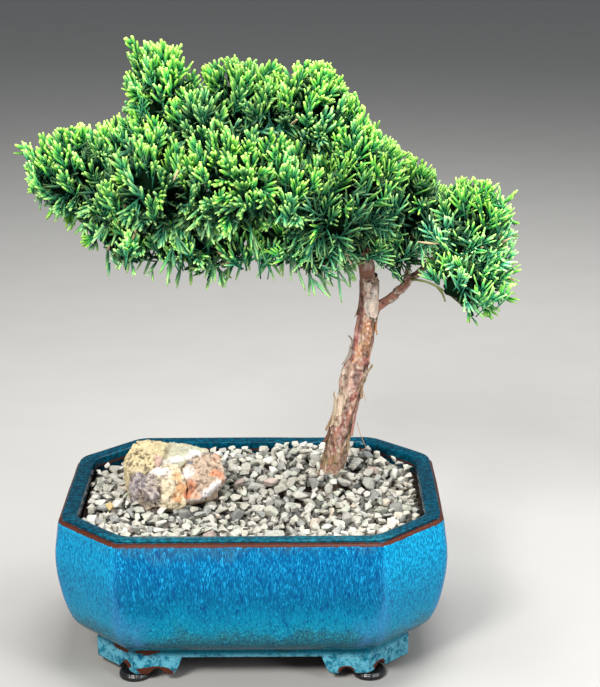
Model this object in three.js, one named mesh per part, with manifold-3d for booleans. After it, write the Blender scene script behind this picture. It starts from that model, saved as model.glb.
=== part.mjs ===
// A small juniper bonsai leaning out of a glazed pot with cut corners.
// Millimetres, +Z up. While it is built, the origin lies under the pot's centre on the
// surface that the pot stands on. At the end the whole group is moved so that the origin
// is the bottom centre of the box round the finished tree.

import * as THREE from 'three';
import { mergeVertices } from 'three/addons/utils/BufferGeometryUtils.js';
import Module from 'manifold-3d';

const wasm = await Module();
wasm.setup();

// ---------------------------------------------------------------- driving dimensions

const GAP = 0.3; // air left between two pieces that touch

// pot: a rectangle with cut corners at the lip; every other ring is this outline moved
// out or in by an offset
const LIP_HALF_X = 97.5;
const LIP_HALF_Y = 75;
const LIP_CUT = 31;
const LIP_Z = 86;
const LIP_ROUND = 14;
const BODY_ROUND = 7;
const FOOT_ROUND = 4;
const INNER_FLOOR_Z = 24;
const DRAIN_X = 44;
const DRAIN_RADIUS = 9;

// [offset, z, corner rounding], from the middle of the underside up the outside
const POT_OUTSIDE = [
  [-26, 18, FOOT_ROUND],
  [-24.5, 14.4, FOOT_ROUND],
  [-15.8, 14.4, FOOT_ROUND],
  [-15, 19.4, FOOT_ROUND],
  [-12.4, 20.2, BODY_ROUND],
  [-4, 27.6, BODY_ROUND],
  [-0.2, 37, BODY_ROUND],
  [2.2, 47.5, BODY_ROUND],
  [3.6, 57, BODY_ROUND],
  [3.7, 67, BODY_ROUND],
  [2.6, 76.5, BODY_ROUND],
  [1.7, 83.2, LIP_ROUND],
  [-0.6, 84.3, LIP_ROUND],
  [0, 85, LIP_ROUND],
  [-0.6, LIP_Z, LIP_ROUND],
];
// and over the flat lip down the inside to the floor
const POT_INSIDE = [
  [-7.8, 84.8, LIP_ROUND],
  [-8, 80, LIP_ROUND],
  [-4, 66, BODY_ROUND],
  [-3.6, 56, BODY_ROUND],
  [-8, 36, BODY_ROUND],
  [-18, INNER_FLOOR_Z, BODY_ROUND],
];

// feet: one at each cut corner, wrapped round it, with a scalloped lower edge
const FOOT_OFFSET = -15.4;
const FOOT_THICK = 17;
const FOOT_TOP_Z = 15.4;
const FOOT_BOTTOM_Z = 4.3;
const FOOT_FRONT_LENGTH = 24;
const FOOT_SIDE_LENGTH = 16;
const FOOT_END_SLOPE = 5;
const SCALLOP_HEIGHT = 3.6;
const SCALLOP_WIDTH = 9;

const PAD_RADIUS = 8.5;
const PAD_X = 61;
const PAD_Y = 51;

const MESH_HALF = 13;
const MESH_THICK = 1.2;
const MESH_CELLS = 2;
const MESH_BAR = 1.8;

// filling
const SOIL_TOP_Z = 73;
const GRAVEL_BOTTOM_Z = SOIL_TOP_Z + GAP;
const GRAVEL_BOTTOM_OFFSET = -6.9;
const GRAVEL_INSET = 9;
const PEBBLE_SPACING = 10.4;
const PEBBLE_JITTER = 3;
const PEBBLE_RISE = 2;
const RIDGE_SHARE = 0.2;
const SHEET_APEX_Z = -3000;

// trunk and its limb, [x, y, z, radius]
const TRUNK = [
  [38, 25, 56, 4],
  [40.6, 23.5, 72, 8],
  [42.3, 22, 86, 7.2],
  [44.4, 20.5, 96.8, 6],
  [46.8, 19, 108.3, 5.7],
  [49.8, 17.5, 121.4, 5.5],
  [52.4, 16, 134.3, 5.6],
  [55.5, 14.5, 147, 5.7],
  [57.6, 13.4, 155.6, 4.9],
  [59.3, 12.2, 164.2, 4.9],
  [60.8, 11, 174.2, 4.9],
  [61.8, 10, 181, 5],
  [62, 8.6, 190, 4.6],
  [61.6, 7, 200, 4.3],
];

const LIMBS = {
  main: [[61.8, 7.4, 195, 4.2], [59, 6, 208, 4], [50, 4, 221, 3.8], [34, 3, 233, 3.4], [12, 3, 244, 3],
    [-12, 3, 252, 2.6], [-38, 2, 254, 2.2], [-62, 1, 253, 1.8], [-82, 0, 255, 1.3]],
  right: [[62, 9.5, 179.5, 2.4], [66.5, 9.6, 182, 2.1], [72, 9.4, 186.5, 1.9], [79, 9, 192.1, 1.75],
    [84, 8, 197.5, 1.65], [92, 5, 206, 1.5], [103, 0, 215, 1.4], [113, -4, 222, 1.1]],
  right_low: [[98, 2.6, 210.6, 1.1], [104, -4, 206, 1], [109, -9, 200, 0.8]],
  right_mid: [[81.5, 8.6, 194.8, 1.2], [83, 7, 212, 1], [83.5, 5, 233, 0.8]],
  right_slope: [[59, 6, 206, 2.2], [60, 4, 225, 1.8], [59.4, 1, 248, 1.2]],
  back_right: [[60, 8, 205, 1.8], [62, 22, 220, 1.5], [63.5, 33, 235, 1.1]],
  front_right: [[54, 4.8, 216, 1.8], [49, -12, 226, 1.5], [45, -25, 237, 1.1]],
  centre_low: [[56, 5, 213, 1.5], [42, 0, 217, 1.2], [30, -4, 223, 1]],
  top_right: [[38, 3, 230.5, 2.2], [37, 5, 255, 1.7], [34.5, 7, 279, 1.2]],
  top_centre: [[14, 3, 243, 2], [8, 8, 265, 1.6], [0, 13, 281, 1.2]],
  front_centre: [[10, 3, 245, 1.8], [3, -14, 250, 1.5], [-2, -25, 255, 1.1]],
  back_mid: [[24, 3, 238.5, 1.8], [16, 22, 249, 1.5], [8, 38, 257, 1.1]],
  lower_mid: [[-12, 3, 252, 1.5], [-22, -1, 238, 1.3], [-29, -4, 226, 1]],
  front_left: [[-30, 2.2, 253.5, 1.5], [-40, -14, 254, 1.3], [-46, -26, 255, 1]],
  back_left: [[-34, 2, 254, 1.5], [-48, 18, 252, 1.3], [-57, 32, 251, 1]],
  lower_left: [[-54, 1.4, 253.5, 1.3], [-61, -3, 242, 1.2], [-66, -7, 231, 0.9]],
  crown: [[-30, 2.2, 253.8, 1.8], [-37, 4, 272, 1.5], [-42, 5, 288, 1.1]],
};

const THICK_LIMB_RADIUS = 2.3; // limbs above it have five sides, the others four

// roots that run out into the soil: [heading in degrees, reach, depth of the tip]
const ROOTS = [[20, 34, 24], [120, 34, 18], [178, 52, 22], [275, 40, 22]];
const ROOT_START = [40, 24, 68];
const ROOT_RADIUS = 3.4;
const ROOT_TIP_RADIUS = 1;

// bark plates that peel off the trunk: [height z, heading in degrees, length, width, lift]
const BARK_PLATES = [
  [112, 200, 19, 6, 8], [153, 190, 15, 5, 14], [141, -15, 11, 5, 16], [178, 250, 12, 7, 6],
  [131, 100, 14, 6, 10], [163, 60, 12, 5, 12],
];
const PLATE_THICK = 0.9;
const BARK_ROUGHNESS = 0.07; // share of the trunk's radius

// foliage pads: centre and radii. Sprays that reach past the pad are aimed at the tips.
const PADS = [
  { name: 'crown_left', at: [-44, 5, 293], radii: [21, 20, 28],
    tips: [[-61.5, 4, 322], [-50, 3, 321], [-33, 8, 320], [-61, -6, 296], [-45, 24, 312]] },
  { name: 'left_end', at: [-88, 0, 254], radii: [28, 27, 25],
    tips: [[-118, -1, 271], [-113, -4, 259], [-113, 2, 247], [-103, -3, 233], [-92, 4, 226],
      [-95, 25, 262]] },
  { name: 'lower_left', at: [-67, -8, 227], radii: [22, 24, 23],
    tips: [[-85, -8, 218], [-72, -10, 204], [-59, -12, 197], [-66, 12, 203]] },
  { name: 'lower_mid', at: [-30, -5, 222], radii: [24, 26, 23],
    tips: [[-45, -8, 199], [-35.6, -5, 192.5], [-27, -9, 195], [-11, -8, 197], [-30, 16, 198]] },
  { name: 'front_left', at: [-47, -28, 253], radii: [24, 24, 24],
    tips: [[-64, -46, 262], [-40, -54, 252], [-52, -42, 236]] },
  { name: 'front_centre', at: [-4, -28, 257], radii: [30, 30, 28],
    tips: [[-12, -60, 262], [14, -58, 256], [2, -50, 281], [-4, -52, 236]] },
  { name: 'top_centre', at: [-2, 14, 287], radii: [26, 26, 25],
    tips: [[-23, 8, 310], [-11, 12, 314], [1, 12, 313], [15, 14, 312.5], [-2, 38, 300]] },
  { name: 'top_right', at: [34, 8, 286], radii: [25, 27, 26],
    tips: [[26, 8, 309], [38, 8, 313], [51, 4, 300], [40, -18, 298], [40, 32, 300]] },
  { name: 'right_slope', at: [60, 0, 253], radii: [24, 28, 24],
    tips: [[64, 2, 282], [76, 2, 269.5], [66, -30, 262], [58, -24, 236]] },
  { name: 'right_mid', at: [85, 4, 236], radii: [19, 25, 23],
    tips: [[84, 2, 264], [90, 4, 261], [88, -24, 244], [88, 5, 210], [86, 30, 242]] },
  { name: 'right_end', at: [117, -4, 226], radii: [22, 26, 26],
    tips: [[109, -2, 254], [118, -4, 252], [137, -3, 247.5], [139, -6, 230], [120, 24, 240],
      [122, -30, 236]] },
  { name: 'right_low', at: [111, -9, 198], radii: [22, 24, 19],
    tips: [[138, -8, 206], [138, -9, 189], [125, -10, 179], [112.5, -9, 175], [96, -12, 184], [88, -6, 186],
      [112, 14, 186]] },
  { name: 'centre_low', at: [26, -4, 223], radii: [30, 26, 24],
    tips: [[46, -4, 187], [31, -8, 191], [22, -4, 200], [10, -8, 197], [28, 16, 196]] },
  { name: 'front_right', at: [43, -28, 240], radii: [25, 24, 25],
    tips: [[50, -52, 248], [32, -54, 236], [44, -42, 218]] },
  { name: 'back_left', at: [-58, 36, 250], radii: [27, 23, 27],
    tips: [[-72, 54, 262], [-50, 58, 250], [-62, 44, 226]] },
  { name: 'back_mid', at: [6, 42, 259], radii: [32, 22, 27],
    tips: [[-10, 62, 268], [18, 62, 260], [4, 52, 234], [-20, 52, 244]] },
  { name: 'back_right', at: [65, 35, 238], radii: [28, 23, 26],
    tips: [[78, 54, 246], [58, 58, 240], [72, 46, 216], [92, 36, 244]] },
];
// a pad starts as a ball of flat facets; shares are of the pad's radius
const PAD_DETAIL = 1;
const CORE_SHARE = 0.74;
const STEM_SHARE = 0.8;
const STEM_RADIUS = 2;
const CORD_RADIUS = 1.2;
const CORD_LEAN = 0.52;
const LEAST_CORD_SHARE = 0.93; // a cord that its neighbours would shorten more is left out
const UNDERSIDE_Z = -0.25; // facets that face further down than this are sparser
const TOPSIDE_SHARE = 1;
const UNDERSIDE_SHARE = 0.6;
const LEADER_INSET = 0.12; // least share of each corner in the direction of an aimed cord

// the pale rock on the gravel: lobes as [centre, radii, seed, detail of the facets]
const ROCK_LOBES = [
  [[-54, 1, 92], [17, 15, 13], 5, 2],
  [[-32, -2, 90], [18, 14, 11], 9, 1],
  [[-51, -11, 88], [13, 12, 10], 14, 1],
  [[-45, 5, 98], [12, 9, 10], 21, 1],
];
const ROCK_BUMPS = 0.1; // share of a lobe's radius

// ---------------------------------------------------------------- small helpers

// a seeded random number generator, so that each build gives the same tree
function randomFrom(seed) {
  let state = seed >>> 0;
  return () => {
    state = (state + 0x6d2b79f5) >>> 0;
    let mixed = Math.imul(state ^ (state >>> 15), 1 | state);
    mixed = (mixed + Math.imul(mixed ^ (mixed >>> 7), 61 | mixed)) ^ mixed;
    return ((mixed ^ (mixed >>> 14)) >>> 0) / 4294967296;
  };
}

// a copy of a geometry with positions only
function bareGeometry(geometry) {
  const bare = geometry.clone();
  bare.deleteAttribute('normal');
  bare.deleteAttribute('uv');
  return bare;
}

// a closed triangle mesh as a solid that can be joined and cut
function solidFrom(geometry) {
  const merged = mergeVertices(bareGeometry(geometry), 1e-4);
  const mesh = new wasm.Mesh({
    numProp: 3,
    vertProperties: new Float32Array(merged.attributes.position.array),
    triVerts: new Uint32Array(merged.index.array),
  });
  return new wasm.Manifold(mesh);
}

function geometryFrom(solid) {
  const mesh = solid.getMesh();
  const geometry = new THREE.BufferGeometry();
  geometry.setAttribute('position', new THREE.BufferAttribute(new Float32Array(mesh.vertProperties), 3));
  geometry.setIndex(new THREE.BufferAttribute(new Uint32Array(mesh.triVerts), 1));
  geometry.computeVertexNormals();
  return geometry;
}

// the largest connected piece of a solid: loose scraps are dropped
function largestPiece(solid) {
  const pieces = solid.decompose();
  pieces.sort((a, b) => b.volume() - a.volume());
  return pieces[0];
}

function joined(solids) {
  let level = solids;
  while (level.length > 1) {
    const next = [];
    for (let i = 0; i < level.length; i += 2) {
      next.push(i + 1 < level.length ? level[i].add(level[i + 1]) : level[i]);
    }
    level = next;
  }
  return level[0];
}

// a closed skin over rings with the same number of points, each ring counter-clockwise
// seen from the end of the skin; both ends are closed by a fan
function loft(rings) {
  const count = rings[0].length;
  const positions = rings.flat(2);
  const index = [];
  for (let r = 0; r + 1 < rings.length; r += 1) {
    for (let i = 0; i < count; i += 1) {
      const next = (i + 1) % count;
      const [a, b] = [r * count + i, r * count + next];
      index.push(a, b, b + count, a, b + count, a + count);
    }
  }
  const ends = [[0, 1], [rings.length - 1, -1]];
  for (const [r, side] of ends) {
    const centre = [0, 1, 2].map((axis) => rings[r].reduce((sum, p) => sum + p[axis], 0) / count);
    const hub = positions.length / 3;
    positions.push(...centre);
    for (let i = 0; i < count; i += 1) {
      const [a, b] = [r * count + i, r * count + ((i + 1) % count)];
      index.push(...(side > 0 ? [hub, b, a] : [hub, a, b]));
    }
  }
  const geometry = new THREE.BufferGeometry();
  geometry.setAttribute('position', new THREE.Float32BufferAttribute(positions, 3));
  geometry.setIndex(index);
  return geometry;
}

function loftSolid(rings) {
  return solidFrom(loft(rings));
}

// ---------------------------------------------------------------- the pot

// the pot's outline moved out by an offset, counter-clockwise, rounded at its 8 corners
function potRing(offset, z, round = BODY_ROUND, steps = 2) {
  const halfX = LIP_HALF_X + offset;
  const halfY = LIP_HALF_Y + offset;
  const cut = LIP_CUT + offset * (2 - Math.SQRT2);
  const quarter = [[halfX, halfY - cut], [halfX - cut, halfY]];
  const corners = [
    ...quarter,
    ...quarter.map(([x, y]) => [-x, y]).reverse(),
    ...quarter.map(([x, y]) => [-x, -y]),
    ...quarter.map(([x, y]) => [x, -y]).reverse(),
  ];
  const ring = [];
  corners.forEach(([x, y], k) => {
    const from = (k * Math.PI) / 4;
    const middle = from + Math.PI / 8;
    const inset = round / Math.cos(Math.PI / 8);
    const centre = [x - Math.cos(middle) * inset, y - Math.sin(middle) * inset];
    for (let i = 0; i <= steps; i += 1) {
      const angle = from + (i / steps) * (Math.PI / 4);
      ring.push([centre[0] + Math.cos(angle) * round, centre[1] + Math.sin(angle) * round, z]);
    }
  });
  return ring;
}

// a point of the foot ring, at a distance along it from the foot's front corner: below
// zero it lies on the long side, then on the cut corner, then on the short side. The two
// ends of the foot are square to the pot, so the foot is shorter along its inner face.
function footPoint(along, offset) {
  const outerCut = LIP_CUT + FOOT_OFFSET * (2 - Math.SQRT2);
  const diagonal = outerCut * Math.SQRT2;
  const halfX = LIP_HALF_X + offset;
  const halfY = LIP_HALF_Y + offset;
  const cut = LIP_CUT + offset * (2 - Math.SQRT2);
  const shorter = (FOOT_OFFSET - offset) * (Math.SQRT2 - 1);
  if (along <= 0) {
    return [halfX - cut + along * (1 - shorter / FOOT_FRONT_LENGTH), halfY];
  }
  if (along < diagonal) {
    const share = along / diagonal;
    return [halfX - cut * (1 - share), halfY - cut * share];
  }
  return [halfX, halfY - cut - (along - diagonal) * (1 - shorter / FOOT_SIDE_LENGTH)];
}

// how high the foot's lower edge stands at a distance along it
function footEdge(along) {
  const diagonal = (LIP_CUT + FOOT_OFFSET * (2 - Math.SQRT2)) * Math.SQRT2;
  const scallops = [-11, diagonal * 0.3];
  let edge = FOOT_BOTTOM_Z;
  for (const middle of scallops) {
    const share = Math.abs(along - middle) / (SCALLOP_WIDTH / 2);
    edge += share < 1 ? SCALLOP_HEIGHT * Math.cos((share * Math.PI) / 2) : 0;
  }
  const toEnd = Math.min(along + FOOT_FRONT_LENGTH, diagonal + FOOT_SIDE_LENGTH - along);
  const slope = Math.max(0, 1 - toEnd / FOOT_END_SLOPE);
  return edge + (FOOT_TOP_Z - 1.4 - FOOT_BOTTOM_Z) * slope ** 1.6;
}

function makeFoot(signX, signY) {
  const diagonal = (LIP_CUT + FOOT_OFFSET * (2 - Math.SQRT2)) * Math.SQRT2;
  const stations = [
    -24, -22, -19, -15.4, -12.6, -9.4, -6.6, 0, 4.9, 7.8, 10.8, 13.7,
    diagonal, diagonal + 11, diagonal + 14, diagonal + 16,
  ];
  const rings = stations.map((along) => {
    const outer = footPoint(along, FOOT_OFFSET);
    const inner = footPoint(along, FOOT_OFFSET - FOOT_THICK);
    const low = footEdge(along);
    return [[...inner, low], [...outer, low], [...outer, FOOT_TOP_Z], [...inner, FOOT_TOP_Z]];
  });
  const placed = rings.map((ring) => ring.map(([x, y, z]) => [x * signX, y * signY, z]));
  return loftSolid(signX * signY > 0 ? placed : placed.reverse());
}

function cylinderSolid(radius, z0, z1, x, y, sides = 24) {
  const cylinder = new THREE.CylinderGeometry(radius, radius, z1 - z0, sides);
  cylinder.rotateX(Math.PI / 2);
  cylinder.translate(x, y, (z0 + z1) / 2);
  return solidFrom(cylinder);
}

const corners = [[1, 1], [-1, 1], [-1, -1], [1, -1]];

function makePot() {
  const rings = [...POT_OUTSIDE, ...POT_INSIDE].map(([offset, z, round]) => potRing(offset, z, round));
  let pot = loftSolid(rings);
  for (const [signX, signY] of corners) {
    pot = pot.add(makeFoot(signX, signY));
  }
  for (const x of [-DRAIN_X, DRAIN_X]) {
    pot = pot.subtract(cylinderSolid(DRAIN_RADIUS, 10, INNER_FLOOR_Z + 6, x, 0));
  }
  return pot;
}

function makeRubberPad() {
  const height = FOOT_BOTTOM_Z - GAP;
  const bevel = 0.8;
  const profile = [
    [0, 0], [PAD_RADIUS - bevel, 0], [PAD_RADIUS, bevel], [PAD_RADIUS, height - bevel],
    [PAD_RADIUS - bevel, height], [0, height],
  ];
  const pad = new THREE.LatheGeometry(profile.map(([x, y]) => new THREE.Vector2(x, y)), 14);
  pad.rotateX(Math.PI / 2);
  return pad;
}

// the plastic screen that lies over a drain hole and keeps the soil in
function makeDrainMesh() {
  const pitch = (2 * MESH_HALF - MESH_BAR) / MESH_CELLS;
  const bars = [];
  for (let i = 0; i <= MESH_CELLS; i += 1) {
    const offset = -MESH_HALF + MESH_BAR / 2 + i * pitch;
    const along = new THREE.BoxGeometry(2 * MESH_HALF, MESH_BAR, MESH_THICK);
    bars.push(solidFrom(along.clone().translate(0, offset, MESH_THICK / 2)));
    bars.push(solidFrom(along.rotateZ(Math.PI / 2).translate(offset, 0, MESH_THICK / 2)));
  }
  return geometryFrom(joined(bars));
}

// ---------------------------------------------------------------- the wood

// a tube with a ring at each of its [x, y, z, radius] points, across the smooth curve
// through them; grow makes it fatter and longer by the same amount, for cutting its room
// out of what lies round it
function limbSolid(points, sides, grow = 0, rough = 0) {
  const curve = new THREE.CatmullRomCurve3(points.map(([x, y, z]) => new THREE.Vector3(x, y, z)));
  const last = points.length - 1;
  const rings = [];
  let normal = new THREE.Vector3(1, 0, 0);
  for (let i = 0; i <= last; i += 1) {
    const centre = curve.getPoint(i / last);
    const tangent = curve.getTangent(i / last);
    normal = normal.clone().addScaledVector(tangent, -normal.dot(tangent)).normalize();
    const binormal = tangent.clone().cross(normal);
    const radius = points[i][3] + grow;
    if (i === 0 || i === last) {
      centre.addScaledVector(tangent, i === 0 ? -grow : grow);
    }
    const ring = [];
    for (let k = 0; k < sides; k += 1) {
      const angle = (k / sides) * 2 * Math.PI;
      const ridge = 1 + rough * Math.sin(k * 2.4 + 1) * Math.sin(i * 1.9 + k);
      const point = centre.clone()
        .addScaledVector(normal, Math.cos(angle) * radius * ridge)
        .addScaledVector(binormal, Math.sin(angle) * radius * ridge);
      ring.push(point.toArray());
    }
    rings.push(ring);
  }
  return loftSolid(rings);
}

function rootPoints([heading, reach, depth]) {
  const angle = THREE.MathUtils.degToRad(heading);
  const [x, y, z] = ROOT_START;
  return [0, 0.3, 0.65, 1].map((share) => [
    x + Math.cos(angle) * reach * share,
    y + Math.sin(angle) * reach * share * 0.8,
    z - depth * share ** 1.4,
    ROOT_RADIUS + (ROOT_TIP_RADIUS - ROOT_RADIUS) * share,
  ]);
}

// a bark plate stands a little off the trunk at one end and is sunk into it at the other
function plateSolid([z, heading, length, width, lift]) {
  const span = TRUNK.findIndex((point, i) => i > 0 && point[2] > z);
  const [low, high] = [TRUNK[span - 1], TRUNK[span]];
  const share = (z - low[2]) / (high[2] - low[2]);
  const [x, y, , radius] = low.map((value, i) => value + (high[i] - value) * share);
  const lean = new THREE.Vector3(high[0] - low[0], high[1] - low[1], high[2] - low[2]).normalize();
  const plate = new THREE.BoxGeometry(PLATE_THICK, width, length);
  plate.rotateY(THREE.MathUtils.degToRad(lift));
  plate.translate(radius + 0.35, 0, 0);
  plate.rotateZ(THREE.MathUtils.degToRad(heading));
  plate.applyQuaternion(new THREE.Quaternion().setFromUnitVectors(new THREE.Vector3(0, 0, 1), lean));
  plate.translate(x, y, z);
  return solidFrom(plate);
}

function makeWood(grow = 0) {
  const trunk = limbSolid(TRUNK, 9, grow, BARK_ROUGHNESS);
  const limbs = Object.values(LIMBS).map((points) => {
    const sides = points[0][3] > THICK_LIMB_RADIUS ? 5 : 4;
    return limbSolid(points, sides, grow);
  });
  const roots = ROOTS.map((root) => limbSolid(rootPoints(root), 4, grow));
  const plates = grow > 0 ? [] : BARK_PLATES.map(plateSolid);
  return joined([trunk, ...limbs, ...roots, ...plates]);
}

// ---------------------------------------------------------------- the filling

function makeSoil(woodRoom) {
  const rings = [
    [-18 - GAP, INNER_FLOOR_Z + GAP, BODY_ROUND],
    [-8 - GAP, 36, BODY_ROUND],
    [-3.8 - GAP, 56, BODY_ROUND],
    [-4.2 - GAP, 66, BODY_ROUND],
    [-6.6 - GAP, SOIL_TOP_Z, BODY_ROUND],
  ].map(([offset, z, round]) => potRing(offset, z, round, 1));
  let soil = loftSolid(rings);
  for (const x of [-DRAIN_X, DRAIN_X]) {
    const half = MESH_HALF + GAP;
    const room = new THREE.BoxGeometry(2 * half, 2 * half, 2 * (MESH_THICK + 2 * GAP));
    room.translate(x, 0, INNER_FLOOR_Z);
    soil = soil.subtract(solidFrom(room));
  }
  return largestPiece(soil.subtract(woodRoom));
}

// height of the gravel bed: mounded round the trunk and along the middle, lower at the
// two ends of the pot, and up to the lip in front
function bedHeight(x, y) {
  const mound = 6 * Math.exp(-(((x - 22) / 52) ** 2) - ((y - 14) / 46) ** 2);
  const front = 2.6 * Math.exp(-(((y + 66) / 20) ** 2)) * Math.exp(-((x / 70) ** 2));
  const left = 1.6 * Math.exp(-(((x + 60) / 34) ** 2));
  return 77.6 + mound + front + left;
}

// the gravel's surface: a sheet of six-sided cells, each raised to an angular pebble with
// a short ridge, above grooves that the cells share. It is closed by a point far below,
// and reaches past the pot on all sides.
function pebbleSheet() {
  const random = randomFrom(7);
  const positions = [0, 0, SHEET_APEX_Z];
  const index = [];
  const grooveVertex = new Map();
  const edges = new Map();
  const corner = (x, y) => {
    const key = `${Math.round(x * 4)},${Math.round(y * 4)}`;
    if (!grooveVertex.has(key)) {
      const px = x + (random() - 0.5) * PEBBLE_JITTER;
      const py = y + (random() - 0.5) * PEBBLE_JITTER;
      const pz = bedHeight(px, py) - PEBBLE_RISE * (0.6 + random());
      grooveVertex.set(key, positions.push(px, py, pz) / 3 - 1);
    }
    return grooveVertex.get(key);
  };
  const rowPitch = (PEBBLE_SPACING * Math.sqrt(3)) / 2;
  const rows = Math.ceil((LIP_HALF_Y + PEBBLE_SPACING) / rowPitch);
  const columns = Math.ceil((LIP_HALF_X + PEBBLE_SPACING) / PEBBLE_SPACING);
  for (let row = -rows; row <= rows; row += 1) {
    for (let column = -columns; column <= columns; column += 1) {
      const x = (column + (row % 2 === 0 ? 0 : 0.5)) * PEBBLE_SPACING;
      const y = row * rowPitch;
      const rim = [];
      for (let k = 0; k < 6; k += 1) {
        const angle = ((k + 0.5) * Math.PI) / 3;
        const reach = PEBBLE_SPACING / Math.sqrt(3);
        rim.push(corner(x + Math.cos(angle) * reach, y + Math.sin(angle) * reach));
      }
      const split = Math.floor(random() * 3);
      const across = ((split + 0.5) * Math.PI) / 3 + Math.PI / 2;
      const [near, far] = [1, -1].map((side) => {
        const half = side * PEBBLE_SPACING * RIDGE_SHARE * (0.5 + random());
        const top = bedHeight(x, y) + PEBBLE_RISE * (0.4 + random());
        return positions.push(x + Math.cos(across) * half, y + Math.sin(across) * half, top) / 3 - 1;
      });
      for (let k = split; k < split + 6; k += 1) {
        const [from, to] = [rim[k % 6], rim[(k + 1) % 6]];
        index.push(from, to, k < split + 3 ? near : far);
        if (!edges.delete(`${to},${from}`)) {
          edges.set(`${from},${to}`, [from, to]);
        }
      }
      index.push(rim[split], near, far, rim[split + 3], far, near);
    }
  }
  for (const [from, to] of edges.values()) {
    index.push(to, from, 0);
  }
  const geometry = new THREE.BufferGeometry();
  geometry.setAttribute('position', new THREE.Float32BufferAttribute(positions, 3));
  geometry.setIndex(index);
  return solidFrom(geometry);
}

function makeGravel(woodRoom, rockRoom) {
  const room = loftSolid([
    potRing(GRAVEL_BOTTOM_OFFSET, GRAVEL_BOTTOM_Z, LIP_ROUND, 1),
    potRing(-GRAVEL_INSET, 77, LIP_ROUND, 1),
    potRing(-GRAVEL_INSET, 130, LIP_ROUND, 1),
  ]);
  return largestPiece(pebbleSheet().intersect(room).subtract(woodRoom).subtract(rockRoom));
}

// ---------------------------------------------------------------- the rock

function lobeSolid([centre, radii, seed, detail], grow) {
  const lobe = mergeVertices(bareGeometry(new THREE.IcosahedronGeometry(1, detail)), 1e-4);
  const position = lobe.attributes.position;
  for (let i = 0; i < position.count; i += 1) {
    const [x, y, z] = [position.getX(i), position.getY(i), position.getZ(i)];
    const broad = ROCK_BUMPS * Math.sin(5 * x + seed) * Math.cos(4 * y - seed);
    const fine = ROCK_BUMPS * 0.8 * Math.sin(7 * z + 3 * y + seed);
    const scale = 1 + broad + fine;
    position.setXYZ(
      i,
      centre[0] + x * (radii[0] * scale + grow),
      centre[1] + y * (radii[1] * scale + grow),
      centre[2] + z * (radii[2] * scale + grow),
    );
  }
  return solidFrom(lobe);
}

function makeRock(grow = 0) {
  return joined(ROCK_LOBES.map((lobe) => lobeSolid(lobe, grow)));
}

// ---------------------------------------------------------------- the foliage

function padRadius(pad) {
  return (pad.radii[0] + pad.radii[1] + pad.radii[2]) / 3;
}

// how far a point lies inside a pad's own cell: the flat walls of the cell stand between
// the pad and each of its neighbours, nearer to the smaller of the two
function roomInCell(pad, other, point) {
  const own = new THREE.Vector3(...pad.at);
  const theirs = new THREE.Vector3(...other.at);
  const ownPower = point.distanceToSquared(own) - padRadius(pad) ** 2;
  const theirPower = point.distanceToSquared(theirs) - padRadius(other) ** 2;
  return (theirPower - ownPower) / (2 * own.distanceTo(theirs));
}

// the share of the way from one point to another that stays inside the pad's cell
function shareInCell(pad, from, to, margin) {
  let share = 1;
  for (const other of PADS) {
    if (other !== pad) {
      const start = roomInCell(pad, other, from) - margin;
      const end = roomInCell(pad, other, to) - margin;
      if (end < 0) {
        share = Math.min(share, Math.max(0, start / (start - end)));
      }
    }
  }
  return share;
}

// the ball of facets that a pad grows from: unit vectors and the corners of each facet
function padFacets(random) {
  const ball = mergeVertices(bareGeometry(new THREE.OctahedronGeometry(1, PAD_DETAIL)), 1e-4);
  const turn = new THREE.Euler(random() * 6, random() * 6, random() * 6);
  const corners = [];
  for (let i = 0; i < ball.attributes.position.count; i += 1) {
    corners.push(new THREE.Vector3().fromBufferAttribute(ball.attributes.position, i).applyEuler(turn));
  }
  const facets = [];
  for (let i = 0; i < ball.index.count; i += 3) {
    facets.push([0, 1, 2].map((k) => ball.index.array[i + k]));
  }
  return { corners, facets };
}

// the shares of a facet's three corners that point along a direction; all are above zero
// when the direction runs through the facet
function facetShares(corners, facet, direction) {
  const basis = new THREE.Matrix3().set(
    corners[facet[0]].x, corners[facet[1]].x, corners[facet[2]].x,
    corners[facet[0]].y, corners[facet[1]].y, corners[facet[2]].y,
    corners[facet[0]].z, corners[facet[1]].z, corners[facet[2]].z,
  );
  return direction.clone().applyMatrix3(basis.invert());
}

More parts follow.
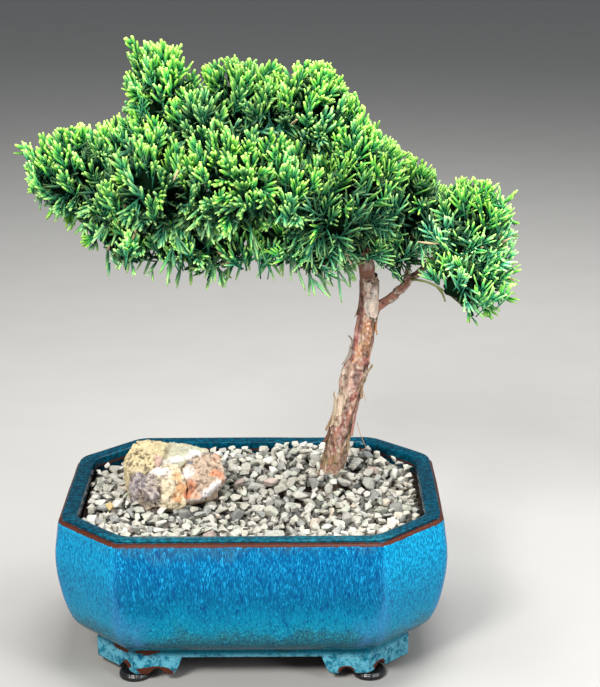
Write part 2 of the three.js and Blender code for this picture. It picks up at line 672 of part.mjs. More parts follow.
// one pad: a slim core of facets. A spray grows out of each facet that has room: the
// facet narrows to a stem, and the stem's end forks into three cords, one leaning to each
// corner of the facet. Every spray keeps to the wedge over its own facet.
function padSolid(pad, random) {
  const centre = new THREE.Vector3(...pad.at);
  const radii = new THREE.Vector3(...pad.radii);
  const { corners, facets } = padFacets(random);
  const positions = [];
  const index = [];
  const vertex = (point) => positions.push(...point.toArray()) / 3 - 1;
  const world = (direction, reach) => direction.clone().multiply(radii).multiplyScalar(reach).add(centre);
  const inCell = (point, margin) => {
    const share = shareInCell(pad, centre, point, margin);
    return { share, point: new THREE.Vector3().lerpVectors(centre, point, share) };
  };

  const coreVertex = corners.map((corner) => {
    const reach = CORE_SHARE * (0.88 + 0.24 * random());
    return vertex(inCell(world(corner, reach), GAP).point);
  });
  const leaders = pad.tips.map((tip) => {
    const direction = new THREE.Vector3(...tip).sub(centre).divide(radii);
    const facet = facets.findIndex((f) => Math.min(...facetShares(corners, f, direction).toArray()) >= 0);
    const shares = facetShares(corners, facets[facet], direction);
    const least = LEADER_INSET * (shares.x + shares.y + shares.z);
    const kept = shares.toArray().map((share) => Math.max(share, least));
    const nearest = kept.indexOf(Math.max(...kept));
    const end = new THREE.Vector3();
    facets[facet].forEach((c, k) => end.addScaledVector(corners[c], kept[k]));
    return { facet, nearest, end: end.multiply(radii).add(centre) };
  });

  facets.forEach((facet, number) => {
    const [v0, v1, v2] = facet.map((c) => corners[c]);
    const middle = v0.clone().add(v1).add(v2).divideScalar(3).normalize();
    const stem = world(middle, STEM_SHARE);
    const stemRoom = inCell(stem, GAP + STEM_RADIUS).share;
    const jitter = facet.map(() => [random(), random(), random()]);
    const ends = facet.map((c, k) => {
      const lean = CORD_LEAN * (0.8 + 0.4 * jitter[k][0]);
      const reach = 1.06 + 0.2 * jitter[k][1];
      const target = world(middle.clone().lerp(corners[c], lean).normalize(), reach);
      const leader = leaders.find((entry) => entry.facet === number && entry.nearest === k);
      return inCell(leader ? leader.end : target, GAP + CORD_RADIUS);
    });
    const kept = middle.z > UNDERSIDE_Z ? TOPSIDE_SHARE : UNDERSIDE_SHARE;
    const aimed = (k) => leaders.some((entry) => entry.facet === number && entry.nearest === k);
    const grows = ends.map((end, k) => aimed(k) || (end.share > LEAST_CORD_SHARE && jitter[k][2] < kept));
    if (stemRoom < 1 || !grows.includes(true)) {
      index.push(...facet.map((c) => coreVertex[c]));
      return;
    }
    const ring = [[v0, v1], [v1, v2], [v2, v0]].map(([from, to]) => {
      const outward = world(from.clone().add(to).normalize(), STEM_SHARE).sub(stem).normalize();
      return stem.clone().addScaledVector(outward, STEM_RADIUS);
    });
    const tip = stem.clone().addScaledVector(stem.clone().sub(centre).normalize(), 0.7);
    const [m0, m1, m2] = ring.map(vertex);
    const fork = vertex(tip);
    const [c0, c1, c2] = facet.map((c) => coreVertex[c]);
    index.push(c0, c1, m0, c1, c2, m1, c2, c0, m2, c1, m1, m0, c2, m2, m1, c0, m0, m2);
    const roots = [[m2, m0, fork], [m0, m1, fork], [m1, m2, fork]];
    roots.forEach((root, k) => {
      if (!grows[k]) {
        index.push(...root);
        return;
      }
      const points = root.map((v) => new THREE.Vector3().fromArray(positions, v * 3));
      const start = points[0].clone().add(points[1]).add(points[2]).divideScalar(3);
      const along = ends[k].point.clone().sub(start).normalize();
      const end = points.map((point) => {
        const out = point.clone().sub(start);
        out.addScaledVector(along, -out.dot(along)).normalize();
        return vertex(ends[k].point.clone().addScaledVector(out, CORD_RADIUS));
      });
      for (let i = 0; i < 3; i += 1) {
        const next = (i + 1) % 3;
        index.push(root[i], root[next], end[next], root[i], end[next], end[i]);
      }
      index.push(...end);
    });
  });
  const geometry = new THREE.BufferGeometry();
  geometry.setAttribute('position', new THREE.Float32BufferAttribute(positions, 3));
  geometry.setIndex(index);
  return solidFrom(geometry);
}

function makeFoliage(pad, number, woodRoom) {
  return largestPiece(padSolid(pad, randomFrom(100 + number)).subtract(woodRoom));
}

// ---------------------------------------------------------------- the scene

const group = new THREE.Group();

function place(name, geometry, color, roughness, position = [0, 0, 0], metalness = 0) {
  const material = new THREE.MeshStandardMaterial({ color, roughness, metalness });
  const mesh = new THREE.Mesh(geometry, material);
  mesh.name = name;
  mesh.position.set(...position);
  group.add(mesh);
}

const woodRoom = makeWood(GAP + 0.05);
const rock = makeRock();
const rockRoom = makeRock(GAP + 0.05);

place('pot', geometryFrom(makePot()), 0x1279ad, 0.2);
corners.forEach(([signX, signY], k) => {
  const name = ['back_right', 'back_left', 'front_left', 'front_right'][k];
  place(`rubber_pad_${name}`, makeRubberPad(), 0x17191a, 0.45, [signX * PAD_X, signY * PAD_Y, 0]);
});
place('drain_mesh_left', makeDrainMesh(), 0x1d1f1e, 0.6, [-DRAIN_X, 0, INNER_FLOOR_Z + GAP]);
place('drain_mesh_right', makeDrainMesh(), 0x1d1f1e, 0.6, [DRAIN_X, 0, INNER_FLOOR_Z + GAP]);
place('soil', geometryFrom(makeSoil(woodRoom)), 0x3a2a1e, 0.95);
place('gravel', geometryFrom(makeGravel(woodRoom, rockRoom)), 0xaaa898, 0.9);
place('rock', geometryFrom(rock), 0xdcc9a6, 0.85);
place('trunk', geometryFrom(makeWood()), 0x96604c, 0.85);
PADS.forEach((pad, number) => {
  const shade = new THREE.Color(0x2f7d2c).lerp(new THREE.Color(0x5fae34), (number % 4) / 5);
  place(`foliage_${pad.name}`, geometryFrom(makeFoliage(pad, number, woodRoom)), shade, 0.7);
});

// the bottom centre of the box round everything becomes the origin
const box = new THREE.Box3().setFromObject(group);
group.position.set(-(box.min.x + box.max.x) / 2, -(box.min.y + box.max.y) / 2, -box.min.z);

export default group;
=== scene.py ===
import math

import bmesh
import bpy
import numpy as np
from mathutils import Matrix, Vector
from mathutils.geometry import delaunay_2d_cdt


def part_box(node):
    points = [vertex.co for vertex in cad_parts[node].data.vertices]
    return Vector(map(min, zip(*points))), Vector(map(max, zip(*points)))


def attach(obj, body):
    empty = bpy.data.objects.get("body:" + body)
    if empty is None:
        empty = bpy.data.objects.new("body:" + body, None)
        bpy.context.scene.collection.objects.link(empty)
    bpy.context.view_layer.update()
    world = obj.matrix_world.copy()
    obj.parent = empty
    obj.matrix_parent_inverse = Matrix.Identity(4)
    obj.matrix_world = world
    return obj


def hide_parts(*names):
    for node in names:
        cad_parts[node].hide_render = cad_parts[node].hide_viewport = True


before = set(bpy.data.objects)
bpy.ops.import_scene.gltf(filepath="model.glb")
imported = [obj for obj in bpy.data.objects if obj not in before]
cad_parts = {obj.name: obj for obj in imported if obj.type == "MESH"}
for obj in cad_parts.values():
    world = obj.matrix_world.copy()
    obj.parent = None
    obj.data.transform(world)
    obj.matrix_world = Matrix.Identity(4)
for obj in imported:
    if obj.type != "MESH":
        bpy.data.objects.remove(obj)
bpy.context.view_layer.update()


# Shapes are written in millimetres from the point under the pot's centre on the surface that
# it stands on. SHIFT takes them to the part's frame, whose origin is under the whole tree.
MM = 0.001
pot_low, pot_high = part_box("pot")
SHIFT = np.array([(pot_low.x + pot_high.x) / 2 / MM, (pot_low.y + pot_high.y) / 2 / MM, 0.0])


# ---------------------------------------------------------------- camera and light

CAMERA_PLACE = np.array([25.62, -851.77, 421.67])
CAMERA_LENS, SENSOR_WIDTH = 89.08, 36.0
CAMERA_DIP, CAMERA_ROLL = math.radians(16.768), -0.0049


def look_camera():
    data = bpy.data.cameras.new("camera")
    data.lens = CAMERA_LENS
    data.sensor_width = SENSOR_WIDTH
    camera = bpy.data.objects.new("camera", data)
    bpy.context.scene.collection.objects.link(camera)
    tilt = Matrix.Rotation(math.pi / 2 - CAMERA_DIP, 4, "X")
    roll = Matrix.Rotation(CAMERA_ROLL, 4, "Z")
    camera.matrix_world = Matrix.Translation((CAMERA_PLACE + SHIFT) * MM) @ tilt @ roll
    bpy.context.scene.camera = camera


def area_light(name, place, aim, size, watts, colour=(1, 1, 1)):
    """A rectangular light; its place, aim and size are in metres."""
    data = bpy.data.lights.new(name, "AREA")
    data.shape = "RECTANGLE"
    data.size, data.size_y = size
    data.energy = watts
    data.color = colour
    light = bpy.data.objects.new(name, data)
    bpy.context.scene.collection.objects.link(light)
    light.location = place
    light.rotation_mode = "QUATERNION"
    light.rotation_quaternion = (Vector(aim) - Vector(place)).to_track_quat("-Z", "Y")


def light_scene():
    world = bpy.data.worlds.new("studio")
    world.use_nodes = True
    sky = world.node_tree.nodes["Background"]
    sky.inputs["Color"].default_value = (0.86, 0.93, 1.0, 1)
    sky.inputs["Strength"].default_value = 0.3
    bpy.context.scene.world = world
    area_light("key", (-0.45, -0.95, 0.95), (0, 0, 0.14), (0.32, 0.32), 25, (1, 0.98, 0.95))
    area_light("top", (0.1, 0.0, 1.25), (0, 0, 0.15), (0.6, 0.5), 24)
    area_light("fill", (0.85, -0.75, 0.65), (0, 0, 0.12), (0.3, 0.6), 11, (0.94, 0.97, 1))
    area_light("back", (0.35, 0.8, 1.2), (0, 0, 0.15), (0.8, 0.5), 8)
    view = bpy.context.scene.view_settings
    view.view_transform = "Standard"
    view.look = "None"


# ---------------------------------------------------------------- noise and meshes

def lattice(ix, iy, iz, seed):
    """A value from -1 to 1 for each point of a lattice, mixed from its whole numbers."""
    h = (ix * 374761393 + iy * 668265263 + iz * 1442695041 + seed * 1274126177) & 0xFFFFFFFF
    h = ((h ^ (h >> 13)) * 1274126177) & 0xFFFFFFFF
    h = ((h ^ (h >> 15)) * 2246822519) & 0xFFFFFFFF
    return ((h ^ (h >> 16)) & 0xFFFF) / 32767.5 - 1


def noise(points, pitch, seed=0):
    """Smooth noise from -1 to 1 whose bumps are about pitch millimetres apart."""
    place = np.asarray(points, float) / pitch + 1000.0
    cell = np.floor(place).astype(np.int64)
    part = place - cell
    part = part * part * (3 - 2 * part)
    total = np.zeros(len(place))
    for corner in np.ndindex(2, 2, 2):
        weight = np.where(corner, part, 1 - part).prod(1)
        total += weight * lattice(*(cell + corner).T, seed)
    return total


def layered_noise(points, pitch, layers, seed=0):
    """Noise with finer and weaker noise on top."""
    return sum(noise(points, pitch / 2 ** k, seed + k) / 2 ** k for k in range(layers))


def rise(low, high, value):
    """0 up to low, 1 from high on, and a smooth step between them."""
    t = np.clip((np.asarray(value, float) - low) / (high - low), 0, 1)
    return t * t * (3 - 2 * t)


def band(value, low, high, feather):
    """1 from low to high and 0 outside them, with soft ends."""
    return rise(low - feather, low + feather, value) * rise(high + feather, high - feather, value)


def bell(distance):
    """1 where the distance is 0, falling off on both sides of it."""
    return np.exp(-np.square(distance))


def blend(colour, tint, share):
    """The points' colours with a tint, or tints, laid over them by a share for each point."""
    share = share[:, None]
    return colour * (1 - share) + np.array(tint) * share


def unit(v):
    v = np.asarray(v, float)
    return v / np.maximum(np.linalg.norm(v, axis=-1, keepdims=True), 1e-9)


def ring_of(count):
    """Angles round a full turn."""
    return np.linspace(0, 2 * math.pi, count, endpoint=False)


def spiral_ball(count, rng):
    """Directions spread evenly over a ball and then shaken a little."""
    k = np.arange(count) + 0.5
    polar = np.arccos(1 - 2 * k / count)
    turn = math.pi * (1 + 5 ** 0.5) * k
    ball = np.stack([np.cos(turn) * np.sin(polar), np.sin(turn) * np.sin(polar), np.cos(polar)], 1)
    return unit(ball + 0.2 * rng.normal(size=ball.shape))


def make_piece(name, points, faces, nodes, material, marks, smooth=True):
    """A visible piece that replaces nodes, from points and arrays of faces. marks are values
    or colours that its points keep for the material."""
    mesh = bpy.data.meshes.new(name)
    mesh.vertices.add(len(points))
    mesh.vertices.foreach_set("co", ((points + SHIFT) * MM).astype(np.float32).ravel())
    flat = np.concatenate([f.ravel() for f in faces]).astype(np.int32)
    sizes = np.concatenate([np.full(len(f), f.shape[1]) for f in faces])
    mesh.loops.add(len(flat))
    mesh.loops.foreach_set("vertex_index", flat)
    mesh.polygons.add(len(sizes))
    mesh.polygons.foreach_set("loop_start", (np.cumsum(sizes) - sizes).astype(np.int32))
    mesh.polygons.foreach_set("use_smooth", np.full(len(sizes), smooth))
    mesh.update(calc_edges=True)
    mesh.validate()
    for key, values in marks.items():
        values = np.asarray(values, np.float32)
        if values.ndim == 2:
            rgba = np.column_stack([values, np.ones(len(values), np.float32)])
            mesh.attributes.new(key, "FLOAT_COLOR", "POINT").data.foreach_set("color", rgba.ravel())
        else:
            mesh.attributes.new(key, "FLOAT", "POINT").data.foreach_set("value", values)
    mesh.materials.append(material)
    piece = bpy.data.objects.new(name, mesh)
    bpy.context.scene.collection.objects.link(piece)
    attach(piece, "root")
    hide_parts(*nodes)


class Heap:
    """Meshes gathered into one piece."""

    def __init__(self):
        self.points, self.quads, self.tris, self.marks, self.count = [], [], [], {}, 0

    def put(self, points, quads=(), tris=(), **marks):
        for own, faces in ((self.quads, quads), (self.tris, tris)):
            if len(faces):
                own.append(np.asarray(faces) + self.count)
        self.points.append(points)
        for key, value in marks.items():
            value = np.asarray(value, float)
            if value.ndim == 0 or value.shape == (3,):
                value = np.repeat(value[None], len(points), 0)
            self.marks.setdefault(key, []).append(value)
        self.count += len(points)

    def piece(self, name, nodes, slot, material, smooth=True):
        faces = [np.vstack(f) for f in (self.quads, self.tris) if f]
        marks = {key: np.concatenate(values) for key, values in self.marks.items()}
        make_piece(name, np.vstack(self.points), faces, nodes, material, marks, smooth)


def grid_faces(rows, columns, closed=True):
    """The quads between rows of points, each row a ring or, if not closed, a strip."""
    r, c = np.meshgrid(np.arange(rows - 1), np.arange(columns if closed else columns - 1), indexing="ij")
    a = (r * columns + c).ravel()
    b = (r * columns + (c + 1) % columns).ravel()
    return np.stack([a, b, b + columns, a + columns], 1)


def end_fans(rows, columns):
    """Triangles that close a grid of rings with two hubs, which follow the grid's points."""
    first = np.arange(columns)
    last = first + (rows - 1) * columns
    hub = np.full(columns, rows * columns)
    return np.vstack([np.stack([hub, np.roll(first, -1), first], 1),
                      np.stack([hub + 1, last, np.roll(last, -1)], 1)])


def smooth_line(points, steps):
    """A Catmull-Rom line through the points with steps to each span."""
    p = np.asarray(points, float)
    ends = np.vstack([2 * p[0] - p[1], p, 2 * p[-1] - p[-2]])
    t = np.linspace(0, 1, steps, endpoint=False)[:, None]
    spans = [0.5 * (2 * b + (c - a) * t + (2 * a - 5 * b + 4 * c - d) * t ** 2
                    + (3 * b - a - 3 * c + d) * t ** 3)
             for a, b, c, d in zip(ends, ends[1:], ends[2:], ends[3:])]
    return np.vstack(spans + [p[-1:]])


def ring_tube(line, sides, radii):
    """Points, sides and caps of a tube along a line of points, with a radius at each."""
    line = np.asarray(line, float)
    tangent = unit(np.gradient(line, axis=0))
    normal = np.array([1.0, 0, 0]) if abs(tangent[0][0]) < 0.9 else np.array([0, 1.0, 0])
    turn = ring_of(sides)[:, None]
    rings = []
    for centre, along, radius in zip(line, tangent, radii):
        normal = unit(normal - along * (normal @ along))
        rings.append(centre + radius * (np.cos(turn) * normal + np.sin(turn) * np.cross(along, normal)))
    return np.vstack(rings + [line[[0, -1]]]), grid_faces(len(line), sides), end_fans(len(line), sides)


# ---------------------------------------------------------------- materials

def srgb(r, g, b):
    """The linear colour of numbers from 0 to 255."""
    return tuple(c / 255 / 12.92 if c / 255 <= 0.04045 else ((c / 255 + 0.055) / 1.055) ** 2.4
                 for c in (r, g, b))


class Shader:
    """A material of shader nodes: every call adds a node and returns its output socket."""

    def __init__(self, name):
        self.material = bpy.data.materials.new(name)
        self.material.use_nodes = True
        self.tree = self.material.node_tree
        self.bsdf = self.tree.nodes["Principled BSDF"]

    def put(self, node, key, value):
        socket = node.inputs[key]
        if isinstance(value, bpy.types.NodeSocket):
            self.tree.links.new(value, socket)
        elif socket.type == "RGBA":
            socket.default_value = (*value, 1)
        else:
            socket.default_value = value

    def add(self, kind, inputs, **settings):
        node = self.tree.nodes.new("ShaderNode" + kind)
        for name, value in settings.items():
            setattr(node, name, value)
        for key, value in inputs.items():
            self.put(node, key, value)
        return node

    def set(self, **inputs):
        for key, value in inputs.items():
            self.put(self.bsdf, key.replace("_", " "), value)

    def place(self, squash):
        """Object coordinates in millimetres, with the heights squashed."""
        own = self.add("TexCoord", {}).outputs["Object"]
        scale = (1 / MM, 1 / MM, squash / MM)
        return self.add("VectorMath", {0: own, 1: scale}, operation="MULTIPLY").outputs[0]

    def mark(self, name):
        return self.add("Attribute", {}, attribute_name=name).outputs["Fac"]

    def tint(self):
        return self.add("Attribute", {}, attribute_name="tint").outputs["Color"]

    def noise(self, pitch, detail=2.0, rough=0.5, squash=1.0):
        inputs = {"Scale": 1 / pitch, "Detail": detail, "Roughness": rough, "Vector": self.place(squash)}
        return self.add("TexNoise", inputs).outputs["Fac"]

    def cells(self, pitch):
        return self.add("TexVoronoi", {"Scale": 1 / pitch, "Vector": self.place(1)}).outputs["Distance"]

    def ramp(self, value, low, high, out=(0.0, 1.0)):
        inputs = {"Value": value, "From Min": low, "From Max": high, "To Min": out[0], "To Max": out[1]}
        return self.add("MapRange", inputs).outputs[0]

    def colours(self, value, stops):
        node = self.add("ValToRGB", {"Fac": value})
        elements = node.color_ramp.elements
        while len(elements) < len(stops):
            elements.new(0.5)
        for element, (at, colour) in zip(elements, stops):
            element.position = at
            element.color = (*colour, 1)
        return node.outputs["Color"]

    def math(self, operation, a, b):
        return self.add("Math", {0: a, 1: b}, operation=operation).outputs[0]

    def times(self, a, b):
        return self.math("MULTIPLY", a, b)

    def mix(self, share, a, b, blend_type="MIX"):
        inputs = {0: share, 6: a, 7: b}
        return self.add("Mix", inputs, data_type="RGBA", blend_type=blend_type).outputs[2]

    def shaded(self, colour, shade):
        return self.mix(1.0, colour, shade, "MULTIPLY")

    def bump(self, height, distance, strength=1.0, under=None):
        """Small relief, distance millimetres high, on top of the relief under it."""
        inputs = {"Height": height, "Distance": distance * MM, "Strength": strength}
        if under is not None:
            inputs["Normal"] = under
        normal = self.add("Bump", inputs).outputs[0]
        self.tree.links.new(normal, self.bsdf.inputs["Normal"])
        return normal


# ---------------------------------------------------------------- the pot

LIP_HALF = np.array([97.5, 75.0])
LIP_CUT = 31.0
RIM_Z = 86
# how much longer a corner's cut gets for each millimetre that the outline moves out
SPREAD = 2 - math.sqrt(2)
# spans of a ring along a cut corner, a long side and a short side, and steps round a corner
CUT_SPANS, LONG_SPANS, SHORT_SPANS, ARC_STEPS = 10, 26, 16, 6
# [offset from the lip's outline, height, rounding of the corners]
POT_OUTSIDE = [
    [-26, 18, 4], [-24.5, 14.6, 4], [-24, 14.4, 4], [-16.4, 14.4, 4], [-15.8, 14.7, 4], [-15.1, 18.6, 4],
    [-14.9, 19.5, 4], [-14.3, 20, 5], [-12.4, 20.2, 6], [-10, 21.4, 7], [-4, 27.6, 7], [-0.2, 37, 7],
    [2.2, 47.5, 7], [3.6, 57, 7], [3.7, 67, 7], [2.6, 76.5, 8], [2.1, 81, 10], [1.7, 82.9, 12],
    [0.9, 83.7, 14], [-0.5, 84.3, 14], [-0.45, 84.8, 14], [0, 85.2, 14], [-0.1, 85.8, 14], [-0.8, 86, 14],
]
POT_INSIDE = [
    [-3, 85.9, 14], [-6.6, 85.5, 14], [-7.6, 84.9, 14], [-8, 83.6, 14], [-8, 80, 14], [-6.5, 75, 10],
    [-4, 66, 7], [-3.6, 56, 7], [-8, 36, 7], [-18, 24, 7],
]
WALL_STEPS, WAVY_ROWS = 3, 9
FOOT_OFFSET, FOOT_THICK, FOOT_TOP_Z, FOOT_BOTTOM_Z = -15.4, 17.0, 15.4, 4.3
FOOT_FRONT, FOOT_SIDE, FOOT_SLOPE, FOOT_END = 24.0, 16.0, 5.0, 1.4
FOOT_DIAGONAL = (LIP_CUT + FOOT_OFFSET * SPREAD) * math.sqrt(2)
FOOT_STATIONS = 96
SCALLOP_HEIGHT, SCALLOP_WIDTH = 3.6, 9.0
SCALLOPS_ALONG = (-11.0, FOOT_DIAGONAL * 0.3)
# [share of the foot's thickness, share of its height], round one cut through it
FOOT_SECTION = [
    (0, 0.06), (0.02, 0), (0.5, 0), (0.93, 0), (0.975, 0.02), (1, 0.09), (1, 0.18), (1, 0.3), (1, 0.42),
    (1, 0.54), (1, 0.66), (1, 0.78), (1, 0.9), (1, 1), (0, 1), (0, 0.5),
]
DRAIN_X, DRAIN_RADIUS, DRAIN_SIDES = 44.0, 9.0, 36
# patches where the glaze broke brown: centre, radii
BROWN_PATCHES = [
    [(-50, -60, 6.6), (13, 4, 3.4)], [(-66, -56, 8), (4, 6, 3.6)], [(-70, -52, 17), (9, 9, 3.2)],
    [(-54, -60, 17.4), (9, 3, 2.2)], [(49, -60, 6.6), (6, 4, 3.2)], [(66, -54, 7), (5, 6, 3.4)],
    [(-81, 30, 7), (4, 6, 3)], [(81, -30, 7), (4, 6, 3)], [(50, 60, 6.8), (11, 4, 3.2)],
    [(-49, 60, 6.8), (6, 4, 3.2)], [(66, 54, 8), (5, 6, 3.6)], [(-66, 55, 7), (5, 6, 3.4)],
]


def plan_corners(offset):
    """The eight corners of the pot's plan, counter-clockwise from the right one at the back."""
    half_x, half_y = LIP_HALF + offset
    cut = LIP_CUT + offset * SPREAD
    quarter = [(half_x, half_y - cut), (half_x - cut, half_y)]
    return np.array(quarter + [(-x, y) for x, y in quarter[::-1]]
                    + [(-x, -y) for x, y in quarter] + [(x, -y) for x, y in quarter[::-1]])


def pot_ring(offset, z, rounding):
    """One level ring of points round the pot, with its eight corners rounded."""
    arcs = []
    for k, corner in enumerate(plan_corners(offset)):
        middle = (k + 0.5) * math.pi / 4
        centre = corner - np.array([math.cos(middle), math.sin(middle)]) * rounding / math.cos(math.pi / 8)
        turn = (k + np.linspace(0, 1, ARC_STEPS + 1)) * math.pi / 4
        arcs.append(centre + rounding * np.stack([np.cos(turn), np.sin(turn)], 1))
    ring = []
    for k, arc in enumerate(arcs):
        spans = CUT_SPANS if k % 2 == 0 else LONG_SPANS if k % 4 == 1 else SHORT_SPANS
        share = np.linspace(0, 1, spans + 1)[1:-1, None]
        ring += [arc, arc[-1] * (1 - share) + arcs[(k + 1) % 8][0] * share]
    ring = np.vstack(ring)
    return np.column_stack([ring, np.full(len(ring), z)])


def foot_point(along, offset):
    """A point of a foot's plan: along its front, its cut corner and its side."""
    half_x, half_y = LIP_HALF + offset
    cut = LIP_CUT + offset * SPREAD
    shorter = (FOOT_OFFSET - offset) * (math.sqrt(2) - 1)
    if along <= 0:
        return half_x - cut + along * (1 - shorter / FOOT_FRONT), half_y
    if along < FOOT_DIAGONAL:
        share = along / FOOT_DIAGONAL
        return half_x - cut * (1 - share), half_y - cut * share
    return half_x, half_y - cut - (along - FOOT_DIAGONAL) * (1 - shorter / FOOT_SIDE)


def foot_edge(along):
    """Height of a foot's lower edge, with its scallops and its sloping ends."""
    edge = FOOT_BOTTOM_Z
    for middle in SCALLOPS_ALONG:
        share = abs(along - middle) / (SCALLOP_WIDTH / 2)
        edge += SCALLOP_HEIGHT * math.cos(share * math.pi / 2) if share < 1 else 0
    to_end = min(along + FOOT_FRONT, FOOT_DIAGONAL + FOOT_SIDE - along)
    slope = max(0.0, 1 - to_end / FOOT_SLOPE)
    return edge + (FOOT_TOP_Z - FOOT_END - FOOT_BOTTOM_Z) * slope ** 1.6


def foot_shell(sign_x, sign_y):
    """Points and faces of one foot: a band round the cut corner with a scalloped edge."""
    points = []
    for along in np.linspace(-FOOT_FRONT, FOOT_DIAGONAL + FOOT_SIDE, FOOT_STATIONS):
        low = foot_edge(along)
        inner = np.array(foot_point(along, FOOT_OFFSET - FOOT_THICK))
        outer = np.array(foot_point(along, FOOT_OFFSET))
        for share, up in FOOT_SECTION:
            x, y = inner * (1 - share) + outer * share
            points.append((x * sign_x, y * sign_y, low + (FOOT_TOP_Z - low) * up))
    points = np.array(points)
    count = len(FOOT_SECTION)
    hubs = np.array([points[:count].mean(0), points[-count:].mean(0)])
    order = 1 if sign_x * sign_y > 0 else -1
    sides = grid_faces(FOOT_STATIONS, count)[:, ::order]
    return np.vstack([points, hubs]), sides, end_fans(FOOT_STATIONS, count)[:, ::order]


def pot_wall():
    """The thrown body: wavy rings up the outside and down the inside, and its pierced floor."""
    outside = smooth_line(POT_OUTSIDE, WALL_STEPS)
    profile = np.vstack([outside, smooth_line(POT_INSIDE, WALL_STEPS)])
    rings = [pot_ring(*row) for row in profile]
    count = len(rings[0])
    points = np.vstack(rings)
    row = np.repeat(np.arange(len(profile)), count)
    wave = 0.28 * noise(points * [1, 1, 0.6], 34, 3) + 0.1 * noise(points, 11, 4)
    wave *= rise(16, 26, points[:, 2]) * (row < len(outside) + WAVY_ROWS)
    points[:, :2] += unit(points[:, :2] * [0.8, 1]) * wave[:, None]
    points[:, 2] += 0.22 * noise(points * [1, 1, 0], 30, 5) * rise(80, RIM_Z, points[:, 2])
    turn = ring_of(DRAIN_SIDES)
    circle = DRAIN_RADIUS * np.stack([np.cos(turn), np.sin(turn)], 1)
    holes = np.vstack([circle + [x, 0] for x in (-DRAIN_X, DRAIN_X)])
    sets, floors = [points], []
    total = len(points)
    last_row = (len(profile) - 1) * count
    for first, z, order in ((0, POT_OUTSIDE[0][1], -1), (last_row, POT_INSIDE[-1][1], 1)):
        plan = np.vstack([points[first:first + count, :2], holes])
        edges = [(i, (i + 1) % count) for i in range(count)]
        cells = np.array(delaunay_2d_cdt([Vector(q) for q in plan], edges, [], 0, 1e-5)[2])
        x, y = plan[cells].mean(1).T
        cells = cells[(np.abs(x) - DRAIN_X) ** 2 + y ** 2 >= DRAIN_RADIUS ** 2]
        numbers = np.concatenate([np.arange(first, first + count), np.arange(total, total + len(holes))])
        floors.append(numbers[cells][:, ::order])
        sets.append(np.column_stack([holes, np.full(len(holes), z)]))
        total += len(holes)
    quads = [grid_faces(len(profile), count)]
    for hole in range(2):
        low = len(points) + hole * DRAIN_SIDES + np.arange(DRAIN_SIDES)
        high = low + len(holes)
        quads.append(np.stack([low, high, np.roll(high, -1), np.roll(low, -1)], 1))
    return np.vstack(sets), np.vstack(quads), np.vstack(floors)


def blob(points, centre, radii):
    """1 in the middle of an ellipsoid, 0 outside it, with a ragged edge."""
    reach = np.linalg.norm((points - centre) / radii, axis=1)
    return 1 - rise(0.55, 1.0, reach + 0.16 * noise(points, 2.6, 11))


def pot_marks(points):
    """Where the glaze breaks brown, thins to lilac, darkens on the rim or is missing, and where painted light
    falls on the front of the rim and on the right-hand cut corners.
    """
    x, y, z = points.T
    lip = np.stack([np.abs(x), np.abs(y)], 1) - LIP_HALF
    diagonal = (np.abs(x) + np.abs(y) - (LIP_HALF.sum() - LIP_CUT)) / math.sqrt(2)
    offset = np.maximum(lip.max(1), diagonal)
    ragged = noise(points, 5.5, 21) + 0.6 * noise(points, 1.9, 22)

    inside = rise(-2.8, -3.2, offset) * (z > 40)
    rim = np.maximum(rise(84.1, 84.6, z + 0.12 * ragged), inside * rise(76, 77.5, z + 0.5 * ragged))
    bare = inside * rise(77.5, 76, z + 0.5 * ragged)
    bare = np.maximum(bare, (z < 40) & (offset < -17.5))
    bare = np.maximum(bare, rise(15.2, 14.6, z) * rise(-15.6, -16.6, offset))

    corners = np.array([np.linalg.norm(points[:, :2] - c, axis=1) for c in plan_corners(2.0)]).min(0)
    corners -= 16 * np.maximum(0, (RIM_Z - z) / 66 - 0.55)
    lilac = 0.65 * bell(corners / 2.2) * rise(20, 24, z) * rise(84, 40, z)
    runs = np.abs(np.abs(x) - 56.5) + 0.8 * np.abs(noise(points, 9, 31))
    lilac = np.maximum(lilac, bell(runs / 2.6) * rise(22, 27, z) * rise(47, 36, z) * (y < 0))

    brown = np.maximum(bell((z - 83.7 + 0.1 * ragged) / 0.95) * rise(-2, -0.4, offset),
                       bell((z - 81 + 0.4 * ragged) / 0.8) * inside)
    brown = np.maximum(brown, rise(1.1, 0.1, np.abs(z - 14.6)) * rise(-17.5, -15.2, offset) * 0.5)
    for centre, radii in BROWN_PATCHES:
        brown = np.maximum(brown, blob(points, centre, radii))
    foot_rim = (z < FOOT_TOP_Z - 1) * rise(-19, -15.6, offset)
    brown = np.maximum(brown, foot_rim * rise(5.5, 4.6, z + 0.3 * ragged) * 0.8)

    # the flecked glaze of the cut corners is its own colour; its larger share on the right-hand corners (x >
    # 0) is painted light
    facet_and_right_light = rise(-1.5, 1, diagonal - lip.max(1)) * rise(18, 24, z) * np.where(x > 0, 1.45, 1)
    return {
        "rim": rim, "bare": np.clip(bare, 0, 1), "brown": np.clip(brown, 0, 1), "lilac": lilac,
        "facet_and_right_light": facet_and_right_light, "near": rise(-62, -72, y), "level": np.clip(z / RIM_Z, 0, 1),
    }


